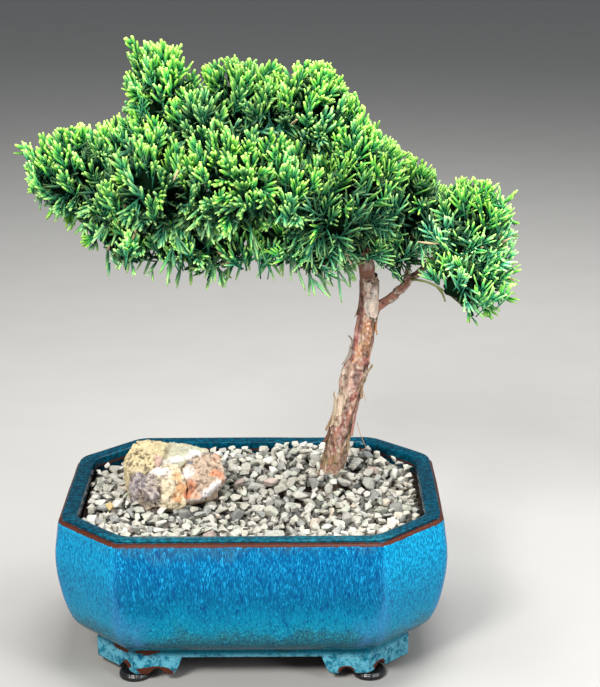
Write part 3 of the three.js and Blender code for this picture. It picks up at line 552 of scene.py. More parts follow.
def glaze():
    """The blue glaze by the share of the pot's height, with what pot_marks puts on it."""
    s = Shader("pot_glaze")
    level = s.mark("level")
    drift = s.ramp(s.noise(16, 3, squash=0.5), 0.3, 0.7, (-0.06, 0.06))
    colour = s.colours(s.math("ADD", level, drift), [
        (0.2, srgb(6, 82, 98)), (0.235, srgb(8, 86, 98)), (0.245, srgb(14, 62, 68)),
        (0.27, srgb(30, 74, 80)), (0.36, srgb(32, 82, 92)), (0.42, srgb(8, 108, 134)),
        (0.50, srgb(0, 104, 136)), (0.62, srgb(0, 82, 118)), (0.78, srgb(0, 76, 118)),
        (0.9, srgb(0, 78, 122)), (0.97, srgb(34, 78, 108)),
    ])
    # light and dark streaks that ran down the wall, and speckles low on it
    fine = s.noise(0.52, 2, 0.6, 0.2)
    wide = s.noise(1.9, 2, 0.6, 0.14)
    streak = s.times(s.ramp(fine, 0.48, 0.66), s.ramp(wide, 0.36, 0.62, (0.35, 1)))
    colour = s.mix(s.times(streak, s.ramp(level, 0.35, 0.85, (0.35, 0.9))), colour, srgb(26, 158, 208))
    dark = s.ramp(s.noise(1.3, 2, 0.55, 0.22), 0.46, 0.3, (0, 0.7))
    colour = s.mix(dark, colour, srgb(0, 50, 104))
    speckle = s.times(s.ramp(s.noise(1.0, 2, 0.7, 0.7), 0.5, 0.68), 0.55)
    low_band = s.times(s.ramp(level, 0.27, 0.36), s.ramp(level, 0.56, 0.42))
    colour = s.mix(s.times(speckle, low_band), colour, srgb(44, 170, 196))
    # the cut corners, the feet and the ridges beside the corners
    fleck = s.ramp(s.noise(0.9, 3, 0.7, 0.5), 0.42, 0.6)
    flecked = s.mix(fleck, srgb(0, 100, 142), srgb(16, 166, 210))
    # the right-hand cut corners get more of the light fleck: painted light
    facet_and_right_light = s.times(s.mark("facet_and_right_light"), s.ramp(level, 0.25, 0.8, (0.05, 0.62)))
    colour = s.mix(facet_and_right_light, colour, flecked)
    foot = s.times(s.ramp(level, 0.2, 0.17), s.ramp(s.noise(3.4, 4, 0.7), 0.4, 0.56))
    colour = s.mix(foot, colour, srgb(82, 148, 166))
    lilac = s.times(s.mark("lilac"), s.ramp(fine, 0.36, 0.6, (0.3, 0.9)))
    colour = s.mix(lilac, colour, srgb(66, 114, 166))
    # the rim, the brown edges and the bare clay
    shine = s.ramp(s.noise(2.4, 3, 0.6), 0.42, 0.66)
    # the front of the rim (near) is painted lighter than its sides: a painted reflection
    rim = s.mix(s.mark("near"), s.mix(shine, srgb(0, 40, 54), srgb(0, 70, 90)),
                s.mix(shine, srgb(4, 56, 70), srgb(16, 98, 116)))
    colour = s.mix(s.mark("rim"), colour, rim)
    brown = s.mix(s.noise(1.6, 3, 0.65), srgb(44, 20, 16), srgb(88, 46, 32))
    broken = s.math("ADD", s.mark("brown"), s.ramp(s.noise(1.8, 3, 0.7), 0.3, 0.7, (-0.22, 0.22)))
    broken = s.ramp(broken, 0.4, 0.62)
    colour = s.mix(broken, colour, brown)
    clay = s.mix(s.noise(1.4, 4, 0.7), srgb(58, 44, 40), srgb(96, 78, 68))
    bare = s.mark("bare")
    colour = s.mix(bare, colour, clay)
    rough = s.ramp(s.noise(6, 3), 0.3, 0.7, (0.05, 0.1))
    rough = s.math("MAXIMUM", rough, s.times(bare, 0.75))
    rough = s.math("MAXIMUM", rough, s.times(broken, 0.32))
    s.set(Base_Color=colour, Roughness=rough, IOR=1.16)
    under = s.bump(s.noise(5.0, squash=0.5), 0.2, 0.4)
    s.bump(s.noise(0.9, 3, 0.6, 0.4), 0.03, 0.35, under)
    return s.material


def make_pot():
    heap = Heap()
    heap.put(*pot_wall())
    for sign_x, sign_y in ((1, 1), (-1, 1), (-1, -1), (1, -1)):
        heap.put(*foot_shell(sign_x, sign_y))
    for key, values in pot_marks(np.vstack(heap.points)).items():
        heap.marks[key] = [values]
    heap.piece("pot_shell", ["pot"], "glazed_pot", glaze())


# ---------------------------------------------------------------- pads, screens and soil

PAD_X, PAD_Y, PAD_SIDES, PAD_RIBS, RIB_HEIGHT = 61, 51, 96, 32, 0.14
# [radius, height]
PAD_PROFILE = [[7.2, 0], [8.2, 0.25], [8.5, 1], [8.5, 2.2], [8.1, 2.8], [7.7, 3.5], [7, 3.95], [5, 4]]
SCREEN_HALF, SCREEN_STRANDS, SCREEN_EDGE = 12.5, 13, 0.5
STRAND_RADIUS, STRAND_POINTS, STRAND_SIDES = 0.42, 14, 6
# middle heights of the screens' strands along y and along x
SCREEN_HEIGHTS = (24.75, 25.05)


def make_rubber_pads():
    s = Shader("rubber")
    dust = s.ramp(s.noise(1.2, 4, 0.7), 0.5, 0.75)
    s.set(Base_Color=s.mix(dust, srgb(13, 14, 16), srgb(46, 46, 46)),
          Roughness=s.ramp(dust, 0, 1, (0.32, 0.6)))
    s.bump(s.noise(0.7, 3), 0.05, 0.6)
    turn = ring_of(PAD_SIDES)
    rings = []
    for radius, z in smooth_line(PAD_PROFILE, 3):
        reach = radius + RIB_HEIGHT * np.cos(turn * PAD_RIBS) * rise(2.0, 2.7, z) * rise(4, 3.4, z)
        rings.append(np.stack([reach * np.cos(turn), reach * np.sin(turn), np.full(PAD_SIDES, z)], 1))
    pad = np.vstack(rings + [[[0, 0, PAD_PROFILE[0][1]], [0, 0, PAD_PROFILE[-1][1]]]])
    heap = Heap()
    for x, y in ((PAD_X, PAD_Y), (-PAD_X, PAD_Y), (-PAD_X, -PAD_Y), (PAD_X, -PAD_Y)):
        heap.put(pad + [x, y, 0], grid_faces(len(rings), PAD_SIDES), end_fans(len(rings), PAD_SIDES))
    names = [f"rubber_pad_{a}_{b}" for a in ("front", "back") for b in ("left", "right")]
    heap.piece("rubber_pads", names, "rubber_pad", s.material)


def make_drain_screens():
    s = Shader("drain_plastic")
    s.set(Base_Color=s.mix(s.noise(2, 3), srgb(24, 26, 25), srgb(44, 44, 40)),
          Roughness=s.ramp(s.noise(3, 3), 0.3, 0.7, (0.4, 0.65)))
    heap = Heap()
    radii = np.full(STRAND_POINTS, STRAND_RADIUS)
    along = np.linspace(-SCREEN_HALF - SCREEN_EDGE, SCREEN_HALF + SCREEN_EDGE, STRAND_POINTS)
    for x in (-DRAIN_X, DRAIN_X):
        for off in np.linspace(-SCREEN_HALF, SCREEN_HALF, SCREEN_STRANDS):
            across = np.full(STRAND_POINTS, off)
            for plan, z in zip(((x + across, along), (x + along, across)), SCREEN_HEIGHTS):
                line = np.column_stack([*plan, np.full(STRAND_POINTS, z)])
                heap.put(*ring_tube(line, STRAND_SIDES, radii))
    heap.piece("drain_screens", ["drain_mesh_left", "drain_mesh_right"], "drain_mesh", s.material)


def dress_soil():
    s = Shader("potting_mix")
    crumb = s.noise(2.6, 5, 0.7)
    stops = [(0.35, srgb(22, 15, 10)), (0.55, srgb(58, 42, 30)), (0.7, srgb(96, 76, 56))]
    s.set(Base_Color=s.colours(crumb, stops), Roughness=s.ramp(crumb, 0.3, 0.7, (0.95, 0.8)))
    s.bump(crumb, 0.8, 1.0)
    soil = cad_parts["soil"]
    soil.data.materials.clear()
    soil.data.materials.append(s.material)


# ---------------------------------------------------------------- the rock

ROCK_FACE_SIZE, SLOPE_STEP = 0.48, 0.4
# blocks of the stone, each the hull of its corners: corners, colour, share of pits
ROCK_BLOCKS = [
    # pitted yellow lump at the back left
    [[(-70, 4, 98), (-68, 0, 92), (-66, 8, 104), (-63, 10, 107), (-57, 11, 108.5), (-50, 12, 107.5),
      (-45, 12, 105), (-47, 4, 100), (-55, -4, 96), (-63, -6, 89), (-59, -3, 100), (-53, 2, 104),
      (-68, 14, 94), (-56, 18, 99), (-67, 1, 76), (-42, 4, 76), (-60, 16, 76)], srgb(214, 196, 152), 1.0],
    # pale saddle at the back
    [[(-55, 13, 105), (-44, 14, 104.5), (-36, 14, 103.5), (-25, 12, 101), (-28, 6, 100), (-39, 3, 96),
      (-53, 1, 96), (-41, 5, 102), (-52, 20, 96), (-28, 19, 94), (-54, 12, 76), (-22, 12, 76)],
     srgb(192, 190, 164), 0.1],
    # purple-grey lump at the front left
    [[(-65, -4, 92), (-61, -6, 96), (-54, -10, 96), (-49, -17, 95), (-49, -20, 89), (-53, -19, 84),
      (-61, -12, 82), (-65, -8, 86), (-57, -18, 93), (-64, -6, 76), (-50, -14, 76)], srgb(192, 180, 178),
     1.0],
    # cream block at the front, with a ledge on top
    [[(-56, -8, 96), (-46, -3, 99.5), (-40, -2, 98.5), (-37, -6, 95), (-35, -12, 90), (-36, -14, 84),
      (-45, -17, 81), (-52, -17, 80), (-61, -13, 83), (-55, -18, 92), (-48, -19, 94), (-39, -14, 94),
      (-56, -12, 76), (-38, -12, 76)], srgb(232, 214, 180), 0.55],
    # pink slab on the right
    [[(-32, 6, 99.5), (-26, 9, 101), (-20, 8, 100), (-17, 4, 97), (-15, 0, 93), (-15, -2, 91),
      (-19, -6, 89), (-29, -13, 84), (-34, -13, 84), (-34, -10, 93), (-37, -6, 97), (-24, -4, 96),
      (-20, 15, 90), (-36, 15, 90), (-36, -6, 76), (-20, 4, 76)], srgb(204, 178, 154), 0.8],
]
# the number of the purple-grey block
PURPLE_BLOCK = 2
# patches of colour: centre, radii, colour
ROCK_TINTS = [
    # pale band along the ledge of the saddle, and the ledge of the cream block: partly the stone's own pale
    # colour and partly painted light on the ledges' upper faces
    [(-49, 2, 99), (5, 4, 3), srgb(244, 240, 232)], [(-41, 4, 99.5), (6, 4, 3), srgb(246, 242, 236)],
    [(-32, 6, 100.5), (6, 4, 2.4), srgb(246, 242, 238)], [(-49, -10, 97), (8, 8, 3.4), srgb(242, 230, 220)],
    # orange vein and rust beside it
    [(-40, -12, 95), (4.5, 6, 5), srgb(228, 184, 132)], [(-38, -15, 88), (4.5, 5, 7), srgb(222, 168, 118)],
    [(-33, -11, 88), (3, 4, 6), srgb(196, 124, 88)], [(-19, -2, 94), (5, 5, 3.4), srgb(224, 152, 114)],
    # white lower edge and white wedge of the pink slab, grey spot above it
    [(-18, -5.5, 87), (6, 5.6, 5), srgb(248, 240, 236)],
    [(-23, -9.5, 84), (6, 5.6, 5), srgb(248, 240, 236)],
    [(-29, -13, 81.5), (6, 5.4, 4.2), srgb(246, 236, 230)],
    [(-34, -6, 96), (4, 5, 3.4), srgb(238, 228, 220)], [(-33.5, 0, 99), (4, 3.4, 2.4), srgb(128, 128, 134)],
    [(-24, 8, 100.5), (6, 2.4, 1.2), srgb(142, 132, 124)],
    # flesh coloured edge of the yellow lump, brown along its top
    [(-50, 1, 100), (3.4, 6, 6), srgb(208, 176, 160)], [(-49, 12, 108), (6, 3, 1.6), srgb(140, 122, 106)],
    [(-55, -17, 80), (8, 4, 2.4), srgb(150, 124, 104)],
]


def hull_of(corners):
    """Faces of the hull of a few corners, and the plane of each face."""
    hull = bmesh.new()
    for corner in corners:
        hull.verts.new(corner)
    bmesh.ops.convex_hull(hull, input=hull.verts)
    hull.verts.index_update()
    triangles = [[v.index for v in f.verts] for f in hull.faces]
    hull.free()
    points = np.array(corners, float)
    a, b, c = points[np.array(triangles)].transpose(1, 0, 2)
    normals = unit(np.cross(b - a, c - a))
    outward = np.sign((((a + b + c) / 3 - points.mean(0)) * normals).sum(1))
    return triangles, normals * outward[:, None], (a * normals).sum(1) * outward


ROCK_HULLS = [hull_of(corners) for corners, _, _ in ROCK_BLOCKS]


def block_distances(points):
    """Signed distance, roughly, to each block, with slightly rounded edges."""
    return np.array([np.log(np.exp(np.clip(4 * (points @ normals.T - reach), -60, 60)).sum(1)) / 4 - 0.5
                     for _, normals, reach in ROCK_HULLS])


def rock_distance(points):
    """Signed distance, roughly, to the whole rock, whose blocks melt together a little."""
    near = block_distances(points)
    return -0.3 * np.log(np.exp(-np.clip(near, -9, 15) / 0.3).sum(0) + 1e-20)


def rock_slope(points):
    """The direction straight out of the rock at each point."""
    steps = SLOPE_STEP * np.eye(3)
    return unit(np.stack([rock_distance(points + step) - rock_distance(points - step) for step in steps], 1))


def rock_skin():
    """One closed skin of small faces round all the blocks together."""
    points = [corner for corners, _, _ in ROCK_BLOCKS for corner in corners]
    starts = np.cumsum([0] + [len(block[0]) for block in ROCK_BLOCKS])
    faces = [[start + k for k in face] for start, hull in zip(starts, ROCK_HULLS) for face in hull[0]]
    mesh = bpy.data.meshes.new("blocks")
    mesh.from_pydata(points, [], faces)
    blocks = bpy.data.objects.new("blocks", mesh)
    bpy.context.collection.objects.link(blocks)
    remesh = blocks.modifiers.new("skin", "REMESH")
    remesh.mode = "VOXEL"
    remesh.voxel_size = ROCK_FACE_SIZE
    skin = blocks.evaluated_get(bpy.context.evaluated_depsgraph_get()).to_mesh()
    corners = np.array([v.co[:] for v in skin.vertices])
    quads = np.array([list(f.vertices) for f in skin.polygons])
    bpy.data.objects.remove(blocks)
    bpy.data.meshes.remove(mesh)
    for _ in range(3):
        corners = corners - rock_slope(corners) * rock_distance(corners)[:, None]
    return corners, quads


def make_rock():
    """The blocks' skin with facets, pits and creases, coloured by block and patch, with painted shade in its
    pits and creases.
    """
    points, faces = rock_skin()
    slope = rock_slope(points)
    near = block_distances(points)
    first, second = np.sort(near, axis=0)[:2]
    crease = bell((second - first) / 0.8)
    weight = np.exp(-(near - first) / 0.7)
    weight /= weight.sum(0)
    # chips, steps and pits
    facets = layered_noise(points + 1.4 * slope, 9, 3, 41)
    lift = 0.6 * facets + 0.55 * np.round(facets * 3) / 3 + 0.42 * layered_noise(points, 2.6, 3, 44)
    patchy = rise(-0.5, 0.2, noise(points, 7, 48) + 0.3) * (weight.T @ [pits for _, _, pits in ROCK_BLOCKS])
    pits = rise(0.26, 0.5, noise(points, 1.5, 47)) * patchy
    small = rise(0.4, 0.6, noise(points, 0.9, 49)) * (0.3 + 0.7 * patchy)
    points = points + slope * (lift - 0.9 * pits - 0.3 * small - 0.8 * crease)[:, None]
    # colours
    colour = weight.T @ np.array([tint for _, tint, _ in ROCK_BLOCKS])
    broken = rise(-0.75, -0.1, noise(points, 3, 50))
    shaken = points + 2.4 * noise(points, 5, 51)[:, None]
    for centre, radii, tint in ROCK_TINTS:
        colour = blend(colour, tint, blob(shaken, centre, radii) * broken)
    purple = 0.75 * weight[PURPLE_BLOCK] * rise(-0.2, 0.3, noise(points, 2.2, 52))
    colour = blend(colour, srgb(104, 96, 106), purple)
    stain = 0.5 * rise(0.25, 0.6, noise(points, 3.4, 53)) * rise(-50, -20, points[:, 0])
    colour = blend(colour, srgb(214, 140, 100), stain)
    colour *= (0.84 + 0.2 * noise(points, 0.9, 55) + 0.13 * noise(points, 2.4, 56))[:, None]
    # pits, small pits and creases are darkened towards brown: painted shade in the hollows
    dark = 0.8 * pits + 0.6 * small + 0.5 * crease * rise(-0.3, 0.3, noise(points, 3, 57) + 0.2)
    colour = blend(colour, srgb(78, 60, 50), np.clip(dark, 0, 0.9))
    s = Shader("rock_stone")
    speck = s.ramp(s.noise(0.45, 3, 0.7), 0.35, 0.7, (0.82, 1.1))
    s.set(Base_Color=s.shaded(s.tint(), speck), Roughness=s.ramp(s.noise(2), 0.3, 0.7, (0.75, 0.95)))
    s.bump(s.noise(0.5, 4, 0.7), 0.16, 0.8)
    make_piece("rock_stone", points, [faces], ["rock"], s.material, {"tint": colour})


# ---------------------------------------------------------------- the gravel

GRID_STEP, GRID_HALF = 0.7, (96, 74)
# the pot's inner walls for stones and for what is filled: half width, half depth, corner
WALLS, FILLED_WALLS = (89.5, 67, 130.2), (87, 65, 127)
BED_LEVEL, BED_FLOOR, BED_DEPTH, FILL_DEPTH = 78.4, 73, 7, 5.2
# heaps at the back, round the trunk, along the front, along the left and behind the rock:
# height, middle's x and y, and half widths along x and y
MOUNDS = [
    [10.2, 40, 46, 43, 34], [6.4, 41, 15, 14, 13], [2.6, 0, -66, math.inf, 20],
    [2.6, -84, 0, 30, math.inf], [3.4, -18, 62, 30, 18],
]
# ground too high for any stone, and wanted ground that any stone has reached
BLOCKED, FILLED = 300, -100
# stones keep this far from the trunk's middle, and reach this far into the rock at this level
TRUNK_FOOT, TRUNK_CLEAR = (42.5, 22), 4.6
ROCK_CLEAR, ROCK_LEVEL = 2.5, 80.5
# shapes of stones and the cut of their edges, places tried for a stone, and stones that find
# no place before the filling starts
STONE_KINDS, STONE_CHIP, TRIES, MISSES = 30, 0.085, 14, 600
# where stones are tried, least and greatest size of a stone and of a filling stone, and how
# far a stone may stand out of the gravel's level
TRY_HALF, STONE_SIZES, FILLER_SIZES, STONE_OUT = [88, 66], (3.8, 13.5), (4.4, 6.4), 2.3
# a stone has the first tone whose share is over a random number
STONE_TONES = [
    (0.16, srgb(166, 166, 160)), (0.42, srgb(208, 205, 194)), (0.52, srgb(192, 194, 178)),
    (0.565, srgb(212, 198, 178)), (0.58, srgb(212, 190, 178)), (1, srgb(200, 196, 182)),
]
# a thin chip that stands up beside the rock
CHIP_PLACE, CHIP_HALF, CHIP_TILT, CHIP_TONE = [-74, -28, 85], [2.1, 3.6, 6.4], 1.1, srgb(186, 162, 114)
CHIP = [[-1, -0.5, 0], [1, -0.4, 0], [0.9, 0.5, 0.1], [-0.8, 0.5, 0.1], [0, 0, 0.6], [0, 0, -0.4]]


def bed_height(x, y):
    """Level of the gravel: heaped at the back and round the trunk."""
    heaps = [height * np.exp(-((x - at_x) / wide) ** 2 - ((y - at_y) / deep) ** 2)
             for height, at_x, at_y, wide, deep in MOUNDS]
    return sum(heaps, BED_LEVEL)


def past_wall(x, y, walls):
    """How far a place is outside walls that are a half width, a half depth and a corner."""
    x, y = np.abs(x), np.abs(y)
    return np.max([x - walls[0], y - walls[1], (x + y - walls[2]) / math.sqrt(2)], axis=0)


def corners_and_faces(mesh):
    """Arrays of a mesh's corners and of its triangles; the mesh itself stays as it is."""
    cut = mesh.copy()
    bmesh.ops.triangulate(cut, faces=cut.faces[:])
    cut.verts.index_update()
    arrays = np.array([v.co[:] for v in cut.verts]), np.array([[v.index for v in f.verts] for f in cut.faces])
    cut.free()
    return arrays


def stone_shapes(count, rng):
    """Unit-sized crushed stones: hulls of random points, each with chipped edges and plain."""
    shapes = []
    for _ in range(count):
        mesh = bmesh.new()
        for direction in unit(rng.normal(size=(rng.integers(9, 14), 3))):
            mesh.verts.new(direction * rng.uniform(0.8, 1.08))
        bmesh.ops.convex_hull(mesh, input=mesh.verts[:])
        bmesh.ops.delete(mesh, geom=[v for v in mesh.verts if not v.link_faces], context="VERTS")
        bmesh.ops.dissolve_limit(mesh, angle_limit=0.3, verts=mesh.verts[:], edges=mesh.edges[:])
        plain = corners_and_faces(mesh)
        bmesh.ops.bevel(mesh, geom=mesh.edges[:], offset=STONE_CHIP, segments=1, affect="EDGES",
                        clamp_overlap=True)
        shapes.append((corners_and_faces(mesh), plain))
        mesh.free()
    return shapes


def turn_matrix(rng, tilt):
    """A full turn about the upright, and a tilt about a level axis."""
    spin = Matrix.Rotation(rng.uniform(0, 2 * math.pi), 3, "Z")
    heading = rng.uniform(0, 2 * math.pi)
    axis = Vector((math.cos(heading), math.sin(heading), 0))
    return np.array(Matrix.Rotation(rng.normal() * tilt, 3, axis) @ spin)


class Bed:
    """The stones, dropped one by one on ground whose height is kept on a grid."""

    def __init__(self):
        self.rng = np.random.default_rng(11)
        self.shapes = stone_shapes(STONE_KINDS, self.rng)
        self.heap = Heap()
        self.x, self.y = (np.arange(-half, half, GRID_STEP) for half in GRID_HALF)
        x, y = np.meshgrid(self.x, self.y, indexing="ij")
        self.level = bed_height(x, y)
        self.ground = np.maximum(BED_FLOOR, self.level - BED_DEPTH)
        at_rock = np.stack([x.ravel(), y.ravel(), np.full(x.size, ROCK_LEVEL)], 1)
        blocked = (rock_distance(at_rock) < -ROCK_CLEAR).reshape(x.shape)
        blocked |= (x - TRUNK_FOOT[0]) ** 2 + (y - TRUNK_FOOT[1]) ** 2 < TRUNK_CLEAR ** 2
        self.ground[blocked] = BLOCKED
        to_fill = (past_wall(x, y, FILLED_WALLS) < 0) & ~blocked
        self.wanted = np.where(to_fill, self.level - FILL_DEPTH, FILLED)

    def deepest_gap(self):
        """The place that lies deepest under the wanted ground, each place once, and None when
        there are no more."""
        row, column = np.unravel_index(np.argmax(self.wanted - self.ground), self.ground.shape)
        if self.wanted[row, column] < self.ground[row, column]:
            return None
        self.wanted[row - 1:row + 2, column - 1:column + 2] = FILLED
        return self.x[row], self.y[column]

    def lay(self, size, gap=None):
        """Lays a stone where it stands out least, or buries one in a gap, darkened as painted shade.
        Returns whether there was a place for it."""
        rng = self.rng
        half = size / 2 * np.array([1.12, rng.uniform(0.76, 0.98), rng.uniform(0.62, 0.86)])
        reach = math.ceil(half[0] * 0.86 / GRID_STEP)
        window = np.arange(-reach, reach + 1) * GRID_STEP
        across, deep = np.meshgrid(window, window, indexing="ij")
        dome = np.sqrt(np.clip(1 - (across ** 2 + deep ** 2) / (0.86 * half[:2].mean()) ** 2, 0, 1))
        best = None
        for x, y in [gap] if gap else rng.uniform(-1, 1, (TRIES, 2)) * TRY_HALF:
            i, j = (int(round((at + edge) / GRID_STEP)) for at, edge in zip((x, y), GRID_HALF))
            patch = self.ground[i - reach:i + reach + 1, j - reach:j + reach + 1]
            if past_wall(x, y, WALLS) > -half[0] * 0.8 or patch.shape != dome.shape:
                continue
            z = (patch + dome * half[2] * 0.92)[dome > 0].max()
            if gap:
                z = self.level[i, j] - half[2] - rng.uniform(2.0, 3.8)
            over = z + half[2] - self.level[i, j]
            if best is None or over < best[0]:
                best = over, x, y, z, patch
        if best is None or best[0] > STONE_OUT + 0.5 * rng.normal():
            return False
        _, x, y, z, patch = best
        np.maximum(patch, np.where(dome > 0, z + dome * half[2] * 0.8, 0), out=patch)
        chipped, plain = self.shapes[rng.integers(len(self.shapes))]
        shape, faces = plain if gap else chipped
        points = (shape * half) @ turn_matrix(rng, 0.45).T + [x, y, z]
        pick = rng.random()
        tone = np.array(next(tone for share, tone in STONE_TONES if pick < share))
        # buried gap fillers get a tone of 0.32: painted shade for the gaps between stones
        tone = tone * rng.uniform(0.72, 1.08) * min(1, 8.5 / size) * (0.32 if gap else 1)
        self.heap.put(points, (), faces, tint=tone)
        return True


def make_gravel():
    """Stones of many sizes, ones darkened as painted shade that fill the gaps between them, and one thin
    chip.
    """
    bed = Bed()
    misses = 0
    while misses <= MISSES:
        misses += not bed.lay(float(np.clip(bed.rng.lognormal(1.84, 0.32), *STONE_SIZES)))
    while gap := bed.deepest_gap():
        bed.lay(bed.rng.uniform(*FILLER_SIZES), gap)
    chip_turn = np.array(Matrix.Rotation(CHIP_TILT, 3, "X"))
    top = np.array([[k, (k + 1) % 4, 4] for k in range(4)])
    chip_faces = np.vstack([top, top[:, [1, 0, 2]] + [0, 0, 1]])
    bed.heap.put(np.array(CHIP) * CHIP_HALF @ chip_turn + CHIP_PLACE, (), chip_faces, tint=CHIP_TONE)
    s = Shader("gravel_stone")
    mottle = s.ramp(s.noise(1.3, 4, 0.65), 0.3, 0.72, (0.74, 1.16))
    speck = s.ramp(s.noise(0.38, 2, 0.7), 0.34, 0.6, (0.72, 1.06))
    s.set(Base_Color=s.shaded(s.tint(), s.times(mottle, speck)),
          Roughness=s.ramp(s.noise(2), 0.3, 0.7, (0.8, 0.95)))
    s.bump(s.noise(0.7, 4, 0.7), 0.22, 0.9)
    bed.heap.piece("gravel_stones", ["gravel"], "gravel", s.material, smooth=False)


# ---------------------------------------------------------------- the wood

TRUNK_SIDES, LIMB_SIDES, FLAKE_ROWS, FLAKE_COLUMNS, FLAKE_THICK = 96, 20, 13, 7, 0.42
# [x, y, z, radius]
TRUNK = [
    [39.4, 23.5, 72, 6.6], [41.5, 22, 86, 6.3], [44.4, 20.5, 96.8, 5.8], [46.8, 19, 108.3, 5.7],
    [49.8, 17.5, 121.4, 5.5], [52.4, 16, 134.3, 5.6], [55.5, 14.5, 147, 5.7], [57.6, 13.4, 155.6, 4.9],
    [59.3, 12.2, 164.2, 4.9], [60.8, 11, 174.2, 4.9], [61.8, 10, 181, 5], [62, 8.6, 190, 4.6],
    [61.6, 7, 200, 4.3],
]
LIMBS = {
    "main": [[61.8, 7.4, 195, 4.2], [59, 6, 208, 4], [50, 4, 221, 3.8], [34, 3, 233, 3.4], [12, 3, 244, 3],
             [-12, 3, 252, 2.6], [-38, 2, 254, 2.2], [-62, 1, 253, 1.8], [-82, 0, 255, 1.3]],
    "right": [[62, 9.5, 179.5, 3.0], [66.5, 9.6, 182, 2.6], [72, 9.4, 186.5, 2.3], [79, 9, 192.1, 2.0],
              [84, 8, 197.5, 1.8], [92, 5, 206, 1.5], [103, 0, 215, 1.4], [113, -4, 222, 1.1]],
    "right_low": [[98, 2.6, 210.6, 1.1], [104, -4, 206, 1], [109, -9, 200, 0.8]],
    "right_mid": [[81.5, 8.6, 194.8, 1.2], [83, 7, 212, 1], [83.5, 5, 233, 0.8]],
    "right_slope": [[59, 6, 206, 2.2], [60, 4, 225, 1.8], [59.4, 1, 248, 1.2]],
    "back_right": [[60, 8, 205, 1.8], [62, 22, 220, 1.5], [63.5, 33, 235, 1.1]],
    "front_right": [[54, 4.8, 216, 1.8], [49, -12, 226, 1.5], [45, -25, 237, 1.1]],
    "centre_low": [[56, 5, 213, 1.5], [42, 0, 217, 1.2], [30, -4, 223, 1]],
    "top_right": [[38, 3, 230.5, 2.2], [37, 5, 255, 1.7], [34.5, 7, 279, 1.2]],
    "top_centre": [[14, 3, 243, 2], [8, 8, 265, 1.6], [0, 13, 281, 1.2]],
    "front_centre": [[10, 3, 245, 1.8], [3, -14, 250, 1.5], [-2, -25, 255, 1.1]],
    "back_mid": [[24, 3, 238.5, 1.8], [16, 22, 249, 1.5], [8, 38, 257, 1.1]],
    "lower_mid": [[-12, 3, 252, 1.5], [-22, -1, 238, 1.3], [-29, -4, 226, 1]],
    "front_left": [[-30, 2.2, 253.5, 1.5], [-40, -14, 254, 1.3], [-46, -26, 255, 1]],
    "back_left": [[-34, 2, 254, 1.5], [-48, 18, 252, 1.3], [-57, 32, 251, 1]],
    "lower_left": [[-54, 1.4, 253.5, 1.3], [-61, -3, 242, 1.2], [-66, -7, 231, 0.9]],
    "crown": [[-30, 2.2, 253.8, 1.8], [-37, 4, 272, 1.5], [-42, 5, 288, 1.1]],
}
# slim green twigs that show under the right-hand foliage
TWIGS = [
    [[84, 6, 198], [92, 1, 197.5], [100, -3, 194], [107, -5, 189], [113, -6, 183]],
    [[97, -2, 195.5], [99.5, -2, 192], [101, -2, 188]],
    [[104, -4, 191.5], [110, -5, 190], [116, -6, 187.5]],
    [[81, 9, 194], [77, 9, 198], [74, 8, 204], [70, 6, 209]],
]
# fibres of bark that hang off the trunk
FIBRES = [
    [[56, 9.5, 118], [57.4, 7, 113], [60, 5, 107], [61, 4.2, 104.5]],
    [[58, 9, 140], [59.6, 7, 134], [60.4, 6, 131]], [[44.6, 14, 121], [42.6, 12, 118], [42, 11, 116]],
]
TAN, GREY, PINK, RED = srgb(176, 146, 112), srgb(166, 150, 138), srgb(186, 134, 120), srgb(158, 62, 60)
ORANGE, BROWN, PALE, CREVICE_SHADE = srgb(198, 130, 80), srgb(116, 78, 60), srgb(206, 186, 170), srgb(44, 28, 24)
# zones of the trunk's front: [low z, high z, left, right, colour, lift]; left and right are
# -1 and 1 at the trunk's two sides as the camera sees it
TRUNK_ZONES = [
    [150, 178, -0.7, 1.2, ORANGE, 0.0], [150, 200, -1.3, -0.55, srgb(172, 78, 84), 0.0],
    [177, 199, -0.45, 0.95, srgb(248, 238, 226), 0.55], [188, 200, -0.9, 0.2, PINK, 0.1],
    [176.5, 182, 0.1, 1.0, TAN, 0.3], [148, 158, 0.15, 0.95, srgb(190, 84, 72), 0.0],
    [131, 151, -1.3, 0.5, srgb(190, 150, 134), 0.5], [134, 149, 0.0, 0.75, PINK, 0.25],
    [132, 149, 0.55, 1.3, TAN, 0.2], [112, 134, 0.05, 0.72, RED, 0.0],
    [118, 136, 0.35, 0.8, srgb(206, 116, 94), 0.1], [106, 121, -0.5, 0.5, srgb(160, 66, 66), 0.0],
    [113, 133, -1.3, -0.28, srgb(206, 184, 156), 0.7], [108, 131, 0.84, 1.4, srgb(178, 150, 122), 0.4],
    [82, 108, -1.4, 1.4, BROWN, 0.0], [92, 112, -0.45, 0.25, srgb(158, 82, 72), 0.1],
    [84, 106, 0.2, 1.3, srgb(146, 112, 86), 0.5],
]
# the scar of a lost limb, and the sides and heights between which a long crack runs
SCAR_PLACE, SCAR_RADII = [61.4, 10, 148.5], [2.2, 3, 2.4]
SCAR_LIP_PLACE, SCAR_LIP_RADII = [61.2, 9.5, 147.5], [3.4, 4, 4]
LONG_CRACK = (0.76, 0.84), (112, 141)
# mottles all over the trunk: pitch, seed, colour
MOTTLES = [(1.5, 57, PALE), (1.9, 58, srgb(150, 96, 78)), (1.2, 59, TAN)]
